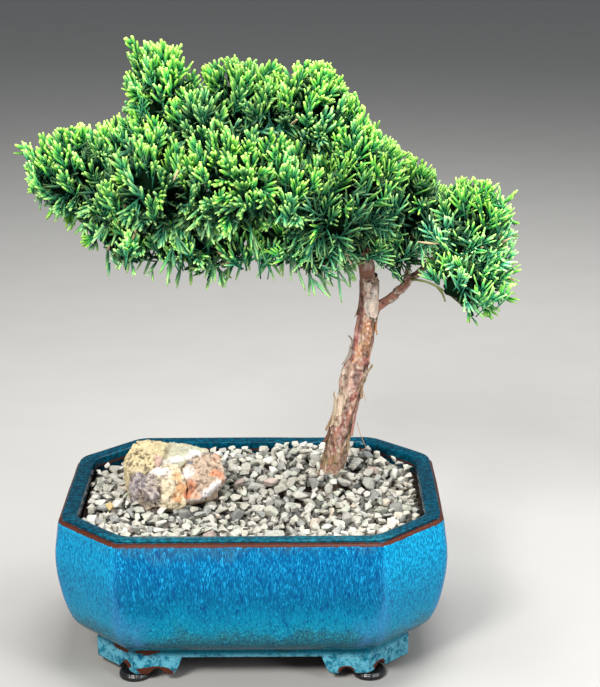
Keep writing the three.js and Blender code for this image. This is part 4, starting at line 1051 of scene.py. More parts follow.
# bark flakes: [z, heading, length, width, lift at the bottom, lift at the top, colour]
FLAKES = [
    [154.5, 188, 10, 4.6, 2.0, 1.2, GREY], [148, 196, 7, 4.0, 1.4, 0.5, PALE],
    [163, 190, 6, 3.2, 0.8, 3.0, GREY], [123, 200, 20, 4.6, 0.5, 2.6, srgb(204, 184, 158)],
    [118, 182, 14, 3.2, 2.2, 0.8, TAN], [108, 190, 9, 4.0, 1.8, 0.4, BROWN],
    [127, 226, 13, 4.6, 0.3, 1.2, srgb(210, 186, 164)], [144, -8, 9, 4.0, 1.0, 2.6, TAN],
    [136, -14, 12, 3.0, 1.6, 0.4, TAN], [120, -12, 22, 2.6, 1.4, 0.5, PINK],
    [170, 4, 7, 3.0, 1.6, 0.3, ORANGE], [104, -20, 9, 4.4, 1.2, 0.5, TAN],
    [183, 300, 11, 5.2, 1.1, 0.3, PALE], [178, 20, 8, 4.0, 0.6, 1.6, TAN],
    [193, 265, 9, 4.0, 0.2, 0.9, PALE], [131, 100, 18, 5.4, 0.4, 2.2, GREY],
    [163, 70, 14, 5.0, 2.2, 0.4, TAN], [112, 80, 14, 5.0, 1.6, 0.4, BROWN],
    [150, 120, 16, 5.0, 0.4, 1.8, PINK], [182, 140, 12, 4.4, 1.6, 0.4, TAN],
    [99, 130, 12, 5.0, 0.5, 1.4, TAN], [141, 40, 13, 4.2, 1.4, 0.3, ORANGE],
]


def upright_noise(points, squash, pitch, seed):
    """Noise whose bumps are drawn out upright."""
    return noise(points * [1, 1, squash], pitch, seed)


def trunk_surface():
    """The trunk's skin with its ridges, cracks and scar: points, faces and colours."""
    line = smooth_line(TRUNK, 26)
    centres = np.repeat(line[:, :3], TRUNK_SIDES, 0)
    radius = np.repeat(line[:, 3], TRUNK_SIDES)
    out = ring_tube(line[:, :3], TRUNK_SIDES, np.ones(len(line)))[0][:-2] - centres
    skin = centres + out * radius[:, None]
    z = skin[:, 2]
    side = (skin[:, 0] - centres[:, 0]) / radius
    front = skin[:, 1] < centres[:, 1] + 0.4 * radius
    # the plates' colours and how far they stand out
    wobble = 0.14 * noise(skin, 4, 61)
    colour = np.repeat([BROWN], len(skin), 0) * (1 + 0.25 * upright_noise(skin, 0.16, 2.2, 62))[:, None]
    colour = blend(colour, TAN, rise(-0.2, 0.5, upright_noise(skin, 0.4, 9, 63)))
    lift = np.zeros(len(skin))
    for low, high, left, right, tint, raise_by in TRUNK_ZONES:
        share = band(z + 2.6 * side + 8 * wobble, low, high, 0.7) * front
        share = share * band(side + wobble, left, right, 0.06)
        colour = blend(colour, tint, share)
        lift = lift * (1 - share) + raise_by * share
    colour = 0.68 * colour + 0.32 * np.array(srgb(186, 150, 132))
    # ridges and fibres, cracks, the scar of a lost limb, and ribs at the foot
    ridge = upright_noise(skin, 0.16, 1.5, 64)
    fibre = upright_noise(skin, 0.1, 0.8, 65)
    flake = rise(0.12, 0.2, upright_noise(skin, 0.3, 3.6, 66))
    lift += (1 + 0.9 * rise(110, 90, z)) * (0.3 * ridge + 0.3 * flake + 0.12 * fibre)
    lift += 0.8 * upright_noise(skin, 0.5, 8, 67)
    crack = rise(0.28, 0.45, upright_noise(skin, 0.16, 2.3, 68)) * 0.5
    crack = np.maximum(crack, band(side, *LONG_CRACK[0], 0.05) * band(z, *LONG_CRACK[1], 2) * front)
    hollow = bell(np.linalg.norm((skin - SCAR_PLACE) / SCAR_RADII, axis=1))
    lip = bell((np.linalg.norm((skin - SCAR_LIP_PLACE) / SCAR_LIP_RADII, axis=1) - 1) / 0.3)
    lift += 1.1 * lip - 1.6 * hollow - 0.7 * crack
    lift += 0.8 * rise(88, 80, z) * (0.4 + 0.6 * np.abs(upright_noise(skin, 0.01, 6, 69)))
    # mottles, pale flecks, moss at the foot, and the shade of all the relief
    for pitch, seed, tint in MOTTLES:
        colour = blend(colour, tint, 0.5 * rise(0.1, 0.5, upright_noise(skin, 0.4, pitch, seed)))
    fleck = upright_noise(skin, 0.7, 0.95, 76)
    colour = blend(colour, srgb(224, 206, 188), 0.6 * rise(0.3, 0.55, fleck))
    moss = 0.5 * bell((z - 92) / 5) * rise(-0.2, 0.4, noise(skin, 3, 77)) * (side < 0.3)
    colour = blend(colour, srgb(140, 130, 78), moss)
    tone = 0.9 - 0.05 * rise(174, 180, z) + 0.26 * ridge + 0.22 * fibre + 0.14 * noise(skin, 1.1, 70)
    colour *= (tone * (1 - 0.6 * rise(0.3, 0.55, -fleck)))[:, None]
    # cracks and the scar's hollow are blended towards near black: painted shade in the recesses
    colour = blend(colour, CREVICE_SHADE, np.clip(0.85 * crack + hollow, 0, 0.92))
    return skin + out * lift[:, None], grid_faces(len(line), TRUNK_SIDES), np.clip(colour, 0, 1)


def bark_flake(z, heading, length, width, low_lift, high_lift, rng):
    """A thin curled plate of bark whose middle is on the trunk at height z."""
    rows, columns = FLAKE_ROWS, FLAKE_COLUMNS
    v, u = np.meshgrid(np.linspace(-1, 1, rows), np.linspace(-1, 1, columns), indexing="ij")
    v, u = v.ravel(), u.ravel()
    none = 0 * u
    ragged = 1 + 0.22 * noise(np.stack([u * 3, v * 3 + z, none], 1), 1.1, 71)
    height = z + v * length / 2 * (1 + 0.18 * noise(np.stack([u * 4, none + z, none], 1), 1.0, 72))
    line = np.array(TRUNK)
    x, y, radius = (np.interp(height, line[:, 2], line[:, k]) for k in (0, 1, 3))
    angle = math.radians(heading) + u * width / 2 / radius * ragged * (1 - 0.25 * v ** 2)
    angle += rng.normal() * 0.05 * v
    share = (v + 1) / 2
    lift = 0.25 + low_lift * (1 - share) ** 2 + high_lift * share ** 2 - 0.35 * u ** 2
    lift += 0.12 * noise(np.stack([u * 2, v * 3, none + z], 1), 1, 73)
    under, top = (np.stack([x + reach * np.cos(angle), y + reach * np.sin(angle), height], 1)
                  for reach in (radius + lift, radius + lift + FLAKE_THICK))
    face = grid_faces(rows, columns, closed=False)
    count = rows * columns
    rim = np.concatenate([np.arange(columns), np.arange(2, rows + 1) * columns - 1,
                          np.arange(count - 2, count - columns - 1, -1),
                          np.arange(rows - 2, 0, -1) * columns])
    edge = np.stack([rim, np.roll(rim, -1), np.roll(rim, -1) + count, rim + count], 1)
    return np.vstack([under, top]), np.vstack([face[:, ::-1], face + count, edge[:, ::-1]])


def limb_surface(limb):
    """A limb's skin: points, sides, caps and colours, which turn green towards its end."""
    line = smooth_line(limb, 12)
    line[:, :3] += 0.5 * np.stack([noise(line[:, :3], 9, 75 + k) for k in range(3)], 1)
    tube, faces, caps = ring_tube(line[:, :3], LIMB_SIDES, line[:, 3])
    out = unit(tube - np.vstack([np.repeat(line[:, :3], LIMB_SIDES, 0), line[[0, -1], :3]]))
    x, y, z = out.T
    along = tube @ unit(np.array(limb[-1][:3]) - np.array(limb[0][:3]))
    fine = noise(np.stack([x * 6, z * 6 + y * 4, along / 3], 1), 1.6, 80)
    scab = rise(0.15, 0.3, noise(np.stack([x * 4, z * 4, along], 1), 2.4, 81))
    cleft = rise(0.3, 0.5, noise(np.stack([x * 3, z * 3, along], 1), 1.7, 82))
    green = rise(0.55, 1.0, np.append(np.repeat(np.linspace(0, 1, len(line)), LIMB_SIDES), [0, 1]))
    tube = tube + out * (0.22 * fine + 0.6 * scab * rise(0.9, 1.6, limb[0][3]))[:, None]
    colour = np.repeat([srgb(160, 108, 92)], len(tube), 0)
    # clefts are blended towards near black: painted shade; and the skin is made lighter where its fine relief
    # stands out, partly grain and partly painted light
    for tint, share in ((PALE, 0.75 * scab), (CREVICE_SHADE, 0.8 * cleft), (srgb(126, 118, 62), 0.7 * green)):
        colour = blend(colour, tint, share)
    return tube, faces, caps, np.clip(colour * (1 + 0.28 * fine)[:, None], 0, 1)


def make_wood():
    """The trunk, its bark flakes, the limbs, and what hangs and grows off them."""
    rng = np.random.default_rng(3)
    heap = Heap()
    points, quads, colour = trunk_surface()
    heap.put(points, quads, tint=colour)
    for *lie, tint in FLAKES:
        plate, faces = bark_flake(*lie, rng)
        tone = np.array(tint) * (1 + 0.2 * upright_noise(plate, 0.3, 1.3, 74))[:, None]
        heap.put(plate, faces, tint=np.clip(tone, 0, 1))
    for limb in LIMBS.values():
        *skin, colour = limb_surface(limb)
        heap.put(*skin, tint=colour)
    for lines, steps, sides, radii, tint in ((FIBRES, 6, 5, (0.22, 0.12), srgb(170, 120, 84)),
                                             (TWIGS, 8, 8, (0.7, 0.4), srgb(116, 124, 66))):
        for points in lines:
            line = smooth_line(points, steps)
            heap.put(*ring_tube(line, sides, np.linspace(*radii, len(line))), tint=tint)
    s = Shader("juniper_bark")
    fibre = s.ramp(s.noise(0.7, 4, 0.65, 0.16), 0.3, 0.72, (0.7, 1.18))
    fleck = s.ramp(s.noise(0.5, 2, 0.6, 0.6), 0.3, 0.6, (0.78, 1.05))
    s.set(Base_Color=s.shaded(s.tint(), s.times(fibre, fleck)),
          Roughness=s.ramp(s.noise(2, squash=0.4), 0.3, 0.7, (0.62, 0.88)))
    s.bump(s.noise(0.6, 4, 0.7, 0.2), 0.2, 0.9)
    heap.piece("bark_and_limbs", ["trunk"], "bark", s.material)


# ---------------------------------------------------------------- the foliage

# each pad: centre, radii and the shoots whose tips stand out of it
PADS = {
    "crown_left": [(-44, 5, 293), (19, 20, 27), [(-61.5, 4, 323), (-50, 3, 321), (-33, 8, 320),
                    (-61, -6, 297)]],
    "left_end": [(-88, 0, 254), (27, 26, 23), [(-118, -1, 271), (-113, -4, 259), (-113, 2, 247),
                  (-103, -3, 233), (-92, 4, 226), (-95, 25, 262)]],
    "lower_left": [(-67, -8, 227), (21, 24, 22), [(-86, -8, 222)]],
    "lower_mid": [(-30, -5, 222), (24, 26, 22), []],
    "front_left": [(-47, -28, 253), (24, 24, 24), [(-64, -46, 262), (-40, -54, 252)]],
    "front_centre": [(-4, -28, 257), (30, 30, 27), [(-12, -60, 262), (14, -58, 256), (2, -50, 281)]],
    "top_centre": [(-2, 14, 286), (25, 26, 24), [(-23, 8, 309), (-11, 12, 313), (1, 12, 312),
                    (15, 14, 312)]],
    "top_right": [(34, 8, 284), (24, 27, 25), [(26, 8, 309), (38, 8, 312), (51, 4, 298), (40, -18, 296)]],
    "right_slope": [(58, 0, 250), (23, 28, 24), [(64, 2, 280), (76, 2, 268), (66, -30, 260)]],
    "right_mid": [(83, 4, 234), (19, 25, 23), [(84, 2, 262), (90, 4, 259), (88, -24, 244)]],
    "right_end": [(115, -4, 226), (21, 26, 25), [(109, -2, 253), (118, -4, 251), (136, -3, 246),
                   (138, -6, 230)]],
    "right_low": [(111, -9, 199), (22, 24, 18), [(138, -8, 206), (138, -9, 190), (125, -10, 180),
                   (112.5, -9, 176), (96, -12, 187)]],
    "centre_low": [(26, -4, 223), (28, 26, 23), []],
    "front_right": [(43, -28, 240), (25, 24, 24), [(50, -52, 248), (32, -54, 236)]],
    "back_left": [(-58, 36, 250), (27, 23, 27), [(-72, 54, 262), (-50, 58, 250), (-62, 44, 226)]],
    "back_mid": [(6, 42, 259), (32, 22, 27), [(-10, 62, 268), (18, 62, 260), (4, 52, 234), (-20, 52, 244)]],
    "back_right": [(65, 35, 238), (28, 23, 26), [(78, 54, 246), (58, 58, 240), (72, 46, 216),
                    (92, 36, 244)]],
}
# each pad's traits: how slim and loose its cords are, how far above the canopy's lower edge
# they end, its number of hanging shoots, and how light it is, which is painted light and shade
PAD_TRAITS = {
    "crown_left": (0, 0, 0, 1.06), "left_end": (0, 4, 5, 1.08), "lower_left": (0, 9, 5, 0.88),
    "lower_mid": (0.3, 10, 6, 0.9), "front_left": (0, 9, 6, 0.98), "front_centre": (0, 10, 8, 1.1),
    "top_centre": (0, 0, 0, 0.7), "top_right": (0, 0, 0, 1.12), "right_slope": (0.8, 0, 0, 0.78),
    "right_mid": (1, 5, 5, 0.44), "right_end": (0.8, 3, 0, 0.98), "right_low": (0.9, 5, 6, 0.92),
    "centre_low": (0.9, 11, 6, 1.6), "front_right": (1, 7, 6, 0.52), "back_left": (0, 10, 10, 1),
    "back_mid": (0, 10, 10, 1), "back_right": (0.8, 0, 8, 1),
}
# smaller tufts that close the mass between the pads: pad, centre, radii
TUFTS = [
    ["left_end", (-66, 4, 266), (16, 18, 14)], ["left_end", (-70, -18, 246), (15, 16, 17)],
    ["left_end", (-74, 20, 246), (16, 18, 18)], ["crown_left", (-24, -12, 280), (18, 18, 16)],
    ["crown_left", (-50, -6, 272), (15, 18, 14)], ["front_left", (-25, -32, 250), (15, 18, 20)],
    ["top_centre", (12, -6, 282), (20, 14, 12)], ["top_right", (52, 0, 268), (15, 20, 15)],
    ["front_centre", (22, -30, 250), (17, 20, 21)], ["lower_left", (-50, -14, 224), (17, 18, 20)],
    ["lower_mid", (-2, -8, 218), (21, 19, 16)], ["front_right", (58, -8, 222), (17, 18, 16)],
    ["right_mid", (76, 0, 214), (16, 16, 14)], ["right_end", (100, -2, 232), (14, 20, 20)],
    ["right_low", (116, -6, 212), (18, 20, 15)], ["right_slope", (62, -18, 244), (16, 16, 19)],
    ["back_left", (-28, 34, 256), (18, 20, 20)], ["back_mid", (36, 36, 254), (18, 20, 20)],
    ["back_mid", (-2, 32, 276), (22, 18, 14)], ["back_right", (92, 20, 230), (15, 16, 18)],
    ["back_right", (50, 22, 268), (18, 16, 14)], ["centre_low", (14, 16, 226), (24, 18, 16)],
    ["back_left", (-42, 22, 232), (18, 18, 16)],
]
ALL_TUFTS = [[name, np.array(centre, float), np.array(radii, float)]
             for name, centre, radii in [(name, *pad[:2]) for name, pad in PADS.items()] + TUFTS]
# the canopy's outline from the front: x and z where the line of sight crosses y = 0
CANOPY_OUTLINE = np.array([
    (-119, 272), (-107, 277), (-92, 280), (-69, 287), (-62, 291), (-63, 325), (-50, 324), (-33, 323),
    (-23, 311), (-10, 315), (1, 314), (15, 313), (38, 315), (51, 299), (65, 281), (77, 270), (91, 262),
    (100, 249), (109, 254), (118, 253), (137, 248), (135, 235), (138, 220), (140, 206), (140, 188),
    (124, 179), (113, 174), (111, 188), (92, 199), (80, 187), (71, 205), (56, 205), (47, 186), (31, 190),
    (22, 200), (11, 196), (1, 203), (-12, 197), (-28, 192), (-42, 197), (-52, 202), (-66, 200), (-73, 203),
    (-78, 214), (-92, 224), (-103, 231), (-114, 248), (-115, 260),
])
CANOPY_MIDDLE = np.array([10, 250])
# the parts of the outline that are its lower edge, each from its right end to its left end
LOWER_EDGES = [CANOPY_OUTLINE[31:46], CANOPY_OUTLINE[24:27]]
# places where the mass opens and shows its dark inside, and where the sprays are darkened as painted shade:
# x, y, z, three radii, share
HOLLOWS = np.array([
    [-52, -26, 255, 21, 34, 16, 0.85], [-33, -26, 255, 11, 34, 10, 0.95], [-72, -20, 260, 9, 30, 8, 0.8],
    [-57, -16, 268, 10, 26, 8, 0.8], [-23, -10, 284, 9, 30, 13, 0.95], [2, -10, 283, 26, 28, 9, 0.95],
    [-22, -26, 233, 9, 20, 7, 0.7], [-3, -40, 248, 7, 20, 6, 0.6], [52, -20, 241, 22, 34, 17, 0.9],
    [60, -20, 250, 9, 34, 7, 0.85], [30, -20, 268, 8, 30, 7, 0.7], [84, -16, 238, 18, 32, 14, 0.85],
    [113, -16, 216, 8, 24, 9, 0.6], [-96, -10, 243, 9, 30, 8, 0.5], [20, 40, 250, 24, 30, 16, 0.5],
    [-40, 44, 244, 10, 20, 14, 0.6], [50, 44, 250, 10, 20, 14, 0.6],
])
SPRAY_SPACING, INNER_SPACING = 8.6, 8.5
# the shares of its length that a cord may be cut back to
CUTS = (0.4, 0.55, 0.7, 0.85, 1.0)
# cords: share of the length, thickness and alternate swelling of the corners at each ring
CORD_RINGS = np.array([
    [0, 0.7, 0], [0.25, 0.92, 0.16], [0.52, 1.02, -0.17], [0.82, 1.05, 0.14], [1, 0.56, 0],
])
INNER_RINGS = np.array([[0, 0.8, 0], [0.55, 1, 0], [1, 0.3, 0]])


class Cords:
    """Scale-leaved cords, each with a start, a way to go, a length, a radius, a bend, and
    marks for tone (light or dark, which carries painted light and shade), age (fresh or old)
    and dryness. edge is how far the tips stay above the canopy's lower outline, and spare how
    far they stay inside all of it. light scales the tone of all the cords: painted light and shade."""

    def __init__(self, rng, fine=0.0, edge=0.0, spare=0.0, light=1.0):
        self.rng, self.fine, self.edge, self.spare, self.light = rng, fine, edge, spare, light
        self.rows = []

    def put(self, start, way, length, radius, bend, tone, age, dry=0.0):
        length *= 1 + 0.15 * self.fine
        radius *= 1 - 0.25 * self.fine
        self.rows.append((*start, *unit(way), length, radius, *bend, tone, age, dry))

    def trimmed(self):
        """The rows, shortened or left out where the canopy's outline ends."""
        rows = np.array(self.rows)
        start, way, length, bend = rows[:, :3], rows[:, 3:6], rows[:, 6], rows[:, 8:11]
        share = np.zeros(len(rows))
        down = np.array([0, 0, self.edge])
        spare = self.spare + self.rng.uniform(-2.2, 2.2, len(rows))
        for part in CUTS:
            tip = start + way * (length * part)[:, None] + bend * part
            share = np.where(inside_outline(tip, spare) & inside_outline(tip - down, spare), part, share)
        rows[:, 6] *= share
        rows[:, 8:11] *= share[:, None]
        return rows[(share > 0) & inside_outline(start, spare)]

    def add_to(self, heap, rings, sides):
        """Puts the cords' meshes in the heap."""
        rows = self.trimmed()
        start, along, bend = rows[:, :3], rows[:, 3:6], rows[:, 8:11]
        length, radius = rows[:, 6, None, None], rows[:, 7, None, None, None]
        helper = np.where(np.abs(along[:, 2:]) < 0.9, [[0, 0, 1.0]], [[1.0, 0, 0]])
        side = unit(np.cross(along, helper))
        t = rings[None, :, :1]
        line = start[:, None] + along[:, None] * (length * t) + bend[:, None] * t ** 2
        turn = ring_of(sides)[:, None, None]
        corners = (side * np.cos(turn) + np.cross(along, side) * np.sin(turn)).transpose(1, 0, 2)
        swell = rings[:, 1:2] + rings[:, 2:] * np.where(np.arange(sides) % 2, -1, 1)
        points = line[:, :, None] + corners[:, None] * (radius * swell[None, :, :, None])
        per = len(rings) * sides
        first = (np.arange(len(rows)) * per)[:, None, None]
        quads = (grid_faces(len(rings), sides)[None] + first).reshape(-1, 4)
        ends = np.array([np.arange(per - sides, per), np.arange(sides)[::-1]])
        caps = (ends[None] + first).reshape(-1, sides)
        if sides == 4:
            quads, caps = np.vstack([quads, caps]), ()
        shape = (len(rows), len(rings), sides)
        tone, age, dry = (np.repeat(rows[:, k], per) for k in (11, 12, 13))
        along, bulge = (np.broadcast_to(each, shape).ravel() for each in (t, swell / rings[:, 1:2]))
        heap.put(points.reshape(-1, 3), quads, caps, tone=tone, age=age, dry=dry, shade_core=0, along=along,
                 bulge=bulge)


def inside_outline(points, spare):
    """Whether the line of sight through each point crosses y = 0 inside the canopy, spare or
    more from its outline."""
    share = CAMERA_PLACE[1] / (CAMERA_PLACE[1] - points[:, 1])
    flat = (CAMERA_PLACE + (points - CAMERA_PLACE) * share[:, None])[:, [0, 2]]
    flat = flat + unit(flat - CANOPY_MIDDLE) * (spare + 1.6 * noise(points, 6, 91))[:, None]
    x, z = flat.T
    inside = np.zeros(len(points), bool)
    for (ax, az), (bx, bz) in zip(CANOPY_OUTLINE, np.roll(CANOPY_OUTLINE, -1, axis=0)):
        if az != bz:
            inside ^= ((az > z) != (bz > z)) & (x < ax + (z - az) * (bx - ax) / (bz - az))
    return inside


def grow_spray(cords, origin, way, length, tone, age, tip=None):
    """A flat fan: a thin stem with cords leaving it left and right in turn, and one at its
    end, which reaches the tip if one is given."""
    rng = cords.rng
    way = unit(way)
    plane = unit(np.cross(way, unit(rng.normal(size=3))))
    lift = np.array([0, 0, 1.0]) * rng.uniform(0, 1.2) + rng.normal(size=3) * 0.7
    cords.put(origin, way, length, 0.55, lift, tone * 0.7, 0.0)
    count = int(rng.integers(7, 11) - 2 * cords.fine)
    sign = 1 if rng.random() < 0.5 else -1
    for k in range(count):
        t = 0.3 + 0.68 * (k + rng.uniform(0, 0.7)) / count
        at = origin + way * length * t + lift * t * t
        sign = -sign
        spread = math.radians(rng.uniform(20, 46) * (1.15 - 0.35 * t) * (1 + 0.25 * cords.fine))
        tilt = rng.normal() * 0.55
        swing = plane * math.cos(tilt) + np.cross(way, plane) * math.sin(tilt)
        leaf_way = way * math.cos(spread) + swing * sign * math.sin(spread)
        reach = (rng.uniform(5.6, 9.6) + 1.6 * cords.fine) * (1.15 - 0.4 * t)
        bend = way * reach * 0.14 + rng.normal(size=3) * 0.3
        dry = rng.random() < (0.026 if at[2] < 232 else 0.002)
        cords.put(at, leaf_way, reach, rng.uniform(0.58, 0.76), bend, tone * rng.uniform(0.75, 1.2), age, dry)
    end = origin + way * length * 0.97 + lift * 0.94
    if tip is None:
        cords.put(end, way, rng.uniform(5, 8), rng.uniform(0.8, 0.98), rng.normal(size=3) * 0.2, tone, age)
    else:
        last = tip - end
        cords.put(end, last, np.linalg.norm(last), 0.98, rng.normal(size=3) * 0.2, tone * 1.1, 1.0)


def hang_spray(cords, origin, way, length, tone):
    """A sparse shoot under the canopy: a few long thin straight cords."""
    rng = cords.rng
    way = unit(way)
    cords.put(origin, way, length, 0.55, rng.normal(size=3) * 0.4, tone, 0.15)
    for _ in range(int(rng.integers(2, 5))):
        at = origin + way * length * rng.uniform(0.25, 0.95)
        leaf_way = way + rng.normal(size=3) * 0.42
        cords.put(at, leaf_way, rng.uniform(7, 13), rng.uniform(0.55, 0.72), rng.normal(size=3) * 0.3,
                  tone * rng.uniform(0.95, 1.25), rng.uniform(0.1, 0.6), 0.2 * rng.random())


def depth_inside(point, skip):
    """How deep in the mass a point lies: the least share of a tuft's radius, but not skip's."""
    return min(np.linalg.norm((point - centre) / radii)
               for k, (_, centre, radii) in enumerate(ALL_TUFTS) if k != skip)


def dark_share(point):
    """How open the mass is at a point and how much painted shade its sprays get, from 0 to 0.95."""
    reach = np.linalg.norm((point - HOLLOWS[:, :3]) / HOLLOWS[:, 3:6], axis=1)
    return float(np.max(HOLLOWS[:, 6] * bell(reach)))


def grow_tuft(number, centre, radii, cords, inner):
    """Sprays that fan out and up from a root low in the tuft, and ones under them darkened as painted shade.
    """
    rng = cords.rng
    size = float(np.mean(radii))
    area = 4 * math.pi * size ** 2
    outward = unit(np.array([centre[0] - 15, centre[1] * 1.2, 0]) + 1e-6)
    root = centre - radii * (0.3 * outward + [0, 0, 0.32])
    for d in spiral_ball(int(area * (1 - 0.2 * cords.fine) / SPRAY_SPACING ** 2), rng):
        skin = centre + radii * d * (1 + 0.13 * noise((centre + radii * d)[None], 12, 90)[0])
        thin = max(dark_share(skin), 0.5 * (d[2] < -0.35))
        if depth_inside(skin, number) < 0.84 or rng.random() < thin:
            continue
        if noise(skin[None], 14, 93)[0] < -0.36:
            skin = centre + (skin - centre) * 0.78
        normal = unit(d / radii)
        up = 0.75 if d[2] > -0.3 else -0.15
        way = 0.45 * unit(skin - root) + 0.2 * normal + [0, 0, up]
        way = way + rng.normal(size=3) * (0.28 + 0.12 * cords.fine)
        # the tone is darkened in the hollows as painted shade, made a little lighter on top and much lighter
        # low down as painted light, and scaled by the pad's painted light
        dark, low = dark_share(skin), rise(242, 226, skin[2])
        length = rng.uniform(12, 18) * min(1.0, size / 20)
        origin = skin - unit(way) * (length - 1.5) - 2.5 * normal
        tone = (0.97 + 0.04 * d[2] + 0.16 * rng.normal()) * (1 - 0.6 * dark) * cords.light
        tone = float(np.clip(tone * (1 + 0.16 * cords.fine + 0.7 * low), 0.25, 2.1))
        age = float(np.clip(0.65 + 0.4 * d[2] + 0.25 * rng.normal() - 0.6 * dark - 0.25 * low, 0, 1))
        grow_spray(cords, origin, way, length, tone, age)
    for d in spiral_ball(int(area * 0.62 / INNER_SPACING ** 2), rng):
        skin = centre + radii * d * 0.8
        if depth_inside(skin, number) < 0.7:
            continue
        way = unit(d / radii) + rng.normal(size=3) * 0.5 + [0, 0, 0.2]
        for _ in range(5):
            at = skin - unit(way) * rng.uniform(5, 9) + rng.normal(size=3) * 1.5
            # the inner cords' tone of 0.1 to 0.32 is painted shade inside the mass
            inner.put(at, way + rng.normal(size=3) * 0.4, rng.uniform(6, 11), rng.uniform(0.7, 0.9),
                      rng.normal(size=3) * 0.4, rng.uniform(0.1, 0.32), rng.uniform(0, 0.5))


def hanging_cords():
    """Long straight cords, in loose fans, whose tips make the canopy's lower edge: the pad,
    the start, the way, the length and the tone of each."""
    rng = np.random.default_rng(21)
    cords = []
    for edge in LOWER_EDGES:
        x = edge[-1, 0]
        while x < edge[0, 0]:
            y = rng.uniform(-34, 24) if x < 60 else rng.uniform(-22, 4)
            z = np.interp(x, edge[::-1, 0], edge[::-1, 1]) + abs(rng.normal()) * 3
            share = CAMERA_PLACE[1] / (CAMERA_PLACE[1] - y)
            tip = CAMERA_PLACE + (np.array([x, 0, z]) - CAMERA_PLACE) / share
            lean = 0.35 * (x - 5) / 60 + 0.3 * rng.normal()
            way = unit([lean, 0.3 * rng.normal() - 0.1, -1])
            length = rng.uniform(13, 19)
            start = tip - way * length
            owner = min(PADS, key=lambda name: np.linalg.norm((start - PADS[name][0]) / PADS[name][1]))
            cords.append((owner, start, way, length, rng.uniform(1.3, 1.65)))
            for _ in range(int(rng.integers(0, 3))):
                fan = unit(way + rng.normal(size=3) * [0.45, 0.3, 0.12])
                reach = length * rng.uniform(0.55, 0.9)
                cords.append((owner, start + fan * 2, fan, reach, rng.uniform(1.2, 1.6)))
            x += rng.uniform(3.2, 8.4)
    return cords


def unit_ball():
    ball = bmesh.new()
    bmesh.ops.create_icosphere(ball, subdivisions=4, radius=1)
    arrays = corners_and_faces(ball)
    ball.free()
    return arrays


def make_foliage():
    """Each pad: the sprays of its tufts, its shoots, the cords that hang from it and its core, a dark ball of
    painted shade.
    """
    material = leaf_material()
    hanging = hanging_cords()
    ball, ball_faces = unit_ball()
    for pad, (name, (centre, radii, tips)) in enumerate(PADS.items()):
        rng = np.random.default_rng(500 + pad)
        fine, edge, shoot_count, light = PAD_TRAITS[name]
        cords = Cords(rng, fine, edge, spare=1.6, light=light)
        inner, shoots = Cords(rng, edge=7.0, spare=4.0), Cords(rng, fine, spare=-0.8)
        for number, (owner, middle, reach) in enumerate(ALL_TUFTS):
            if owner == name:
                grow_tuft(number, middle, reach, cords, inner)
        centre, radii = np.array(centre, float), np.array(radii, float)
        for tip in np.array(tips, float).reshape(-1, 3):
            origin = centre + (tip - centre) * 0.5
            way = tip - origin
            grow_spray(shoots, origin, way, float(np.linalg.norm(way)) - 7, 0.9, 0.95, tip)
        for _ in range(shoot_count):
            d = unit(rng.normal(size=3) * [1, 1, 0.15] + [0, -0.2, -0.7])
            way = d * [0.75, 0.5, 0] + rng.normal(size=3) * 0.25 + [0, 0, -0.8]
            hang_spray(shoots, centre + radii * d * 0.74, way, rng.uniform(8, 13), rng.uniform(0.85, 1.15))
        for owner, start, way, length, tone in hanging:
            if owner == name:
                bend = rng.normal(size=3) * 0.5
                shoots.put(start, way, length, rng.uniform(0.72, 0.92), bend, tone, rng.uniform(0.0, 0.5),
                           rng.uniform(0.04, 0.22))
        heap = Heap()
        cords.add_to(heap, CORD_RINGS, 4)
        shoots.add_to(heap, CORD_RINGS, 4)
        inner.add_to(heap, INNER_RINGS, 3)
        # the core is a near-black ball of painted shade that fills the inside of the pad
        shade_core = centre + ball * radii * (0.43 + 0.14 * layered_noise(ball * 20, 9, 3, 95 + pad))[:, None]
        heap.put(shade_core, (), ball_faces, tone=0.3, age=0, dry=0, shade_core=1, along=0, bulge=1)
        heap.piece(f"sprays_{name}", [f"foliage_{name}"], "foliage", material)


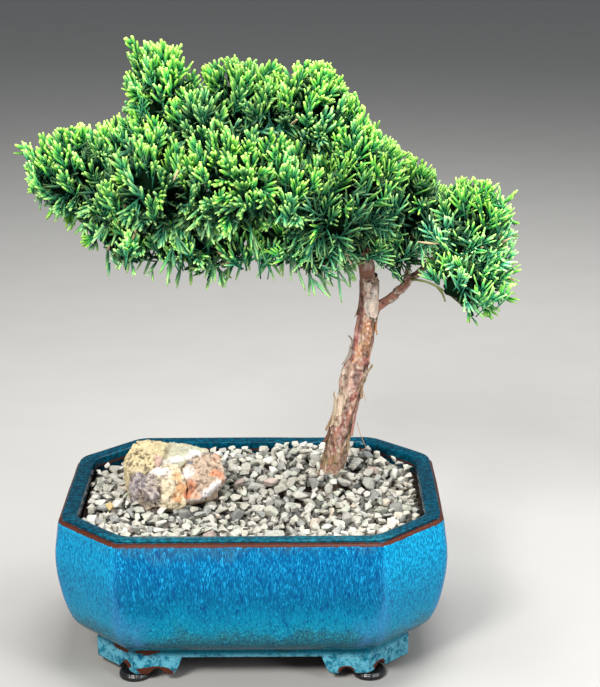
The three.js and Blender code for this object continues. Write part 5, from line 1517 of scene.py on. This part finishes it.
def leaf_material():
    """Green from old to fresh and from a cord's foot to its tip, brown where a cord is dry, with painted
    light and shade from the tone, the scales' bulges and the dark core.
    """
    s = Shader("juniper_leaves")
    along, shade_core = s.mark("along"), s.mark("shade_core")
    # the dark feet of the cords are partly their own deeper green and partly painted shade of the inside of
    # the mass
    fresh = s.colours(along, [(0.0, srgb(2, 58, 22)), (0.24, srgb(18, 104, 58)), (0.52, srgb(78, 170, 74)),
                              (0.8, srgb(140, 212, 74)), (1.0, srgb(192, 232, 112))])
    old = s.colours(along, [(0.0, srgb(8, 56, 40)), (0.3, srgb(44, 116, 92)), (0.7, srgb(104, 172, 128)),
                            (1.0, srgb(176, 220, 140))])
    colour = s.mix(s.mark("age"), old, fresh)
    patch = s.ramp(s.noise(11), 0.35, 0.65)
    colour = s.mix(s.times(patch, 0.25), colour, srgb(30, 108, 74))
    # the bulged corners of the scales are made lighter and the sunken ones darker: painted light and shade;
    # the tone mark carries painted light and shade too
    scale = s.ramp(s.mark("bulge"), 0.84, 1.16, (0.74, 1.2))
    colour = s.shaded(colour, s.times(scale, s.ramp(s.mark("tone"), 0.0, 2.2, (0.06, 2.1))))
    colour = s.shaded(colour, s.ramp(s.noise(0.55, rough=0.6), 0.35, 0.65, (0.8, 1.15)))
    twig = s.mix(s.noise(1.2, 3), srgb(178, 150, 116), srgb(200, 176, 142))
    colour = s.mix(s.mark("dry"), colour, twig)
    # the core's near-black green is painted shade
    colour = s.mix(shade_core, colour, srgb(1, 20, 4))
    shine = s.ramp(s.noise(1.5), 0.3, 0.7, (0.4, 0.58))
    s.set(Base_Color=colour, Roughness=s.math("MAXIMUM", shine, shade_core), IOR=1.2)
    s.bump(s.cells(0.9), 0.15, 0.5)
    return s.material


# ---------------------------------------------------------------- the scene

FLOOR_SIZE = 8


def make_floor():
    s = Shader("floor")
    s.set(Base_Color=s.mix(s.noise(60, 3), srgb(146, 144, 140), srgb(152, 150, 147)), Roughness=0.85)
    bpy.ops.mesh.primitive_plane_add(size=FLOOR_SIZE, location=(0, 0, 0))
    floor = bpy.context.object
    floor.name = "floor"
    floor.data.materials.append(s.material)


look_camera()
light_scene()
make_pot()
make_rubber_pads()
make_drain_screens()
dress_soil()
make_rock()
make_gravel()
make_wood()
make_foliage()
make_floor()
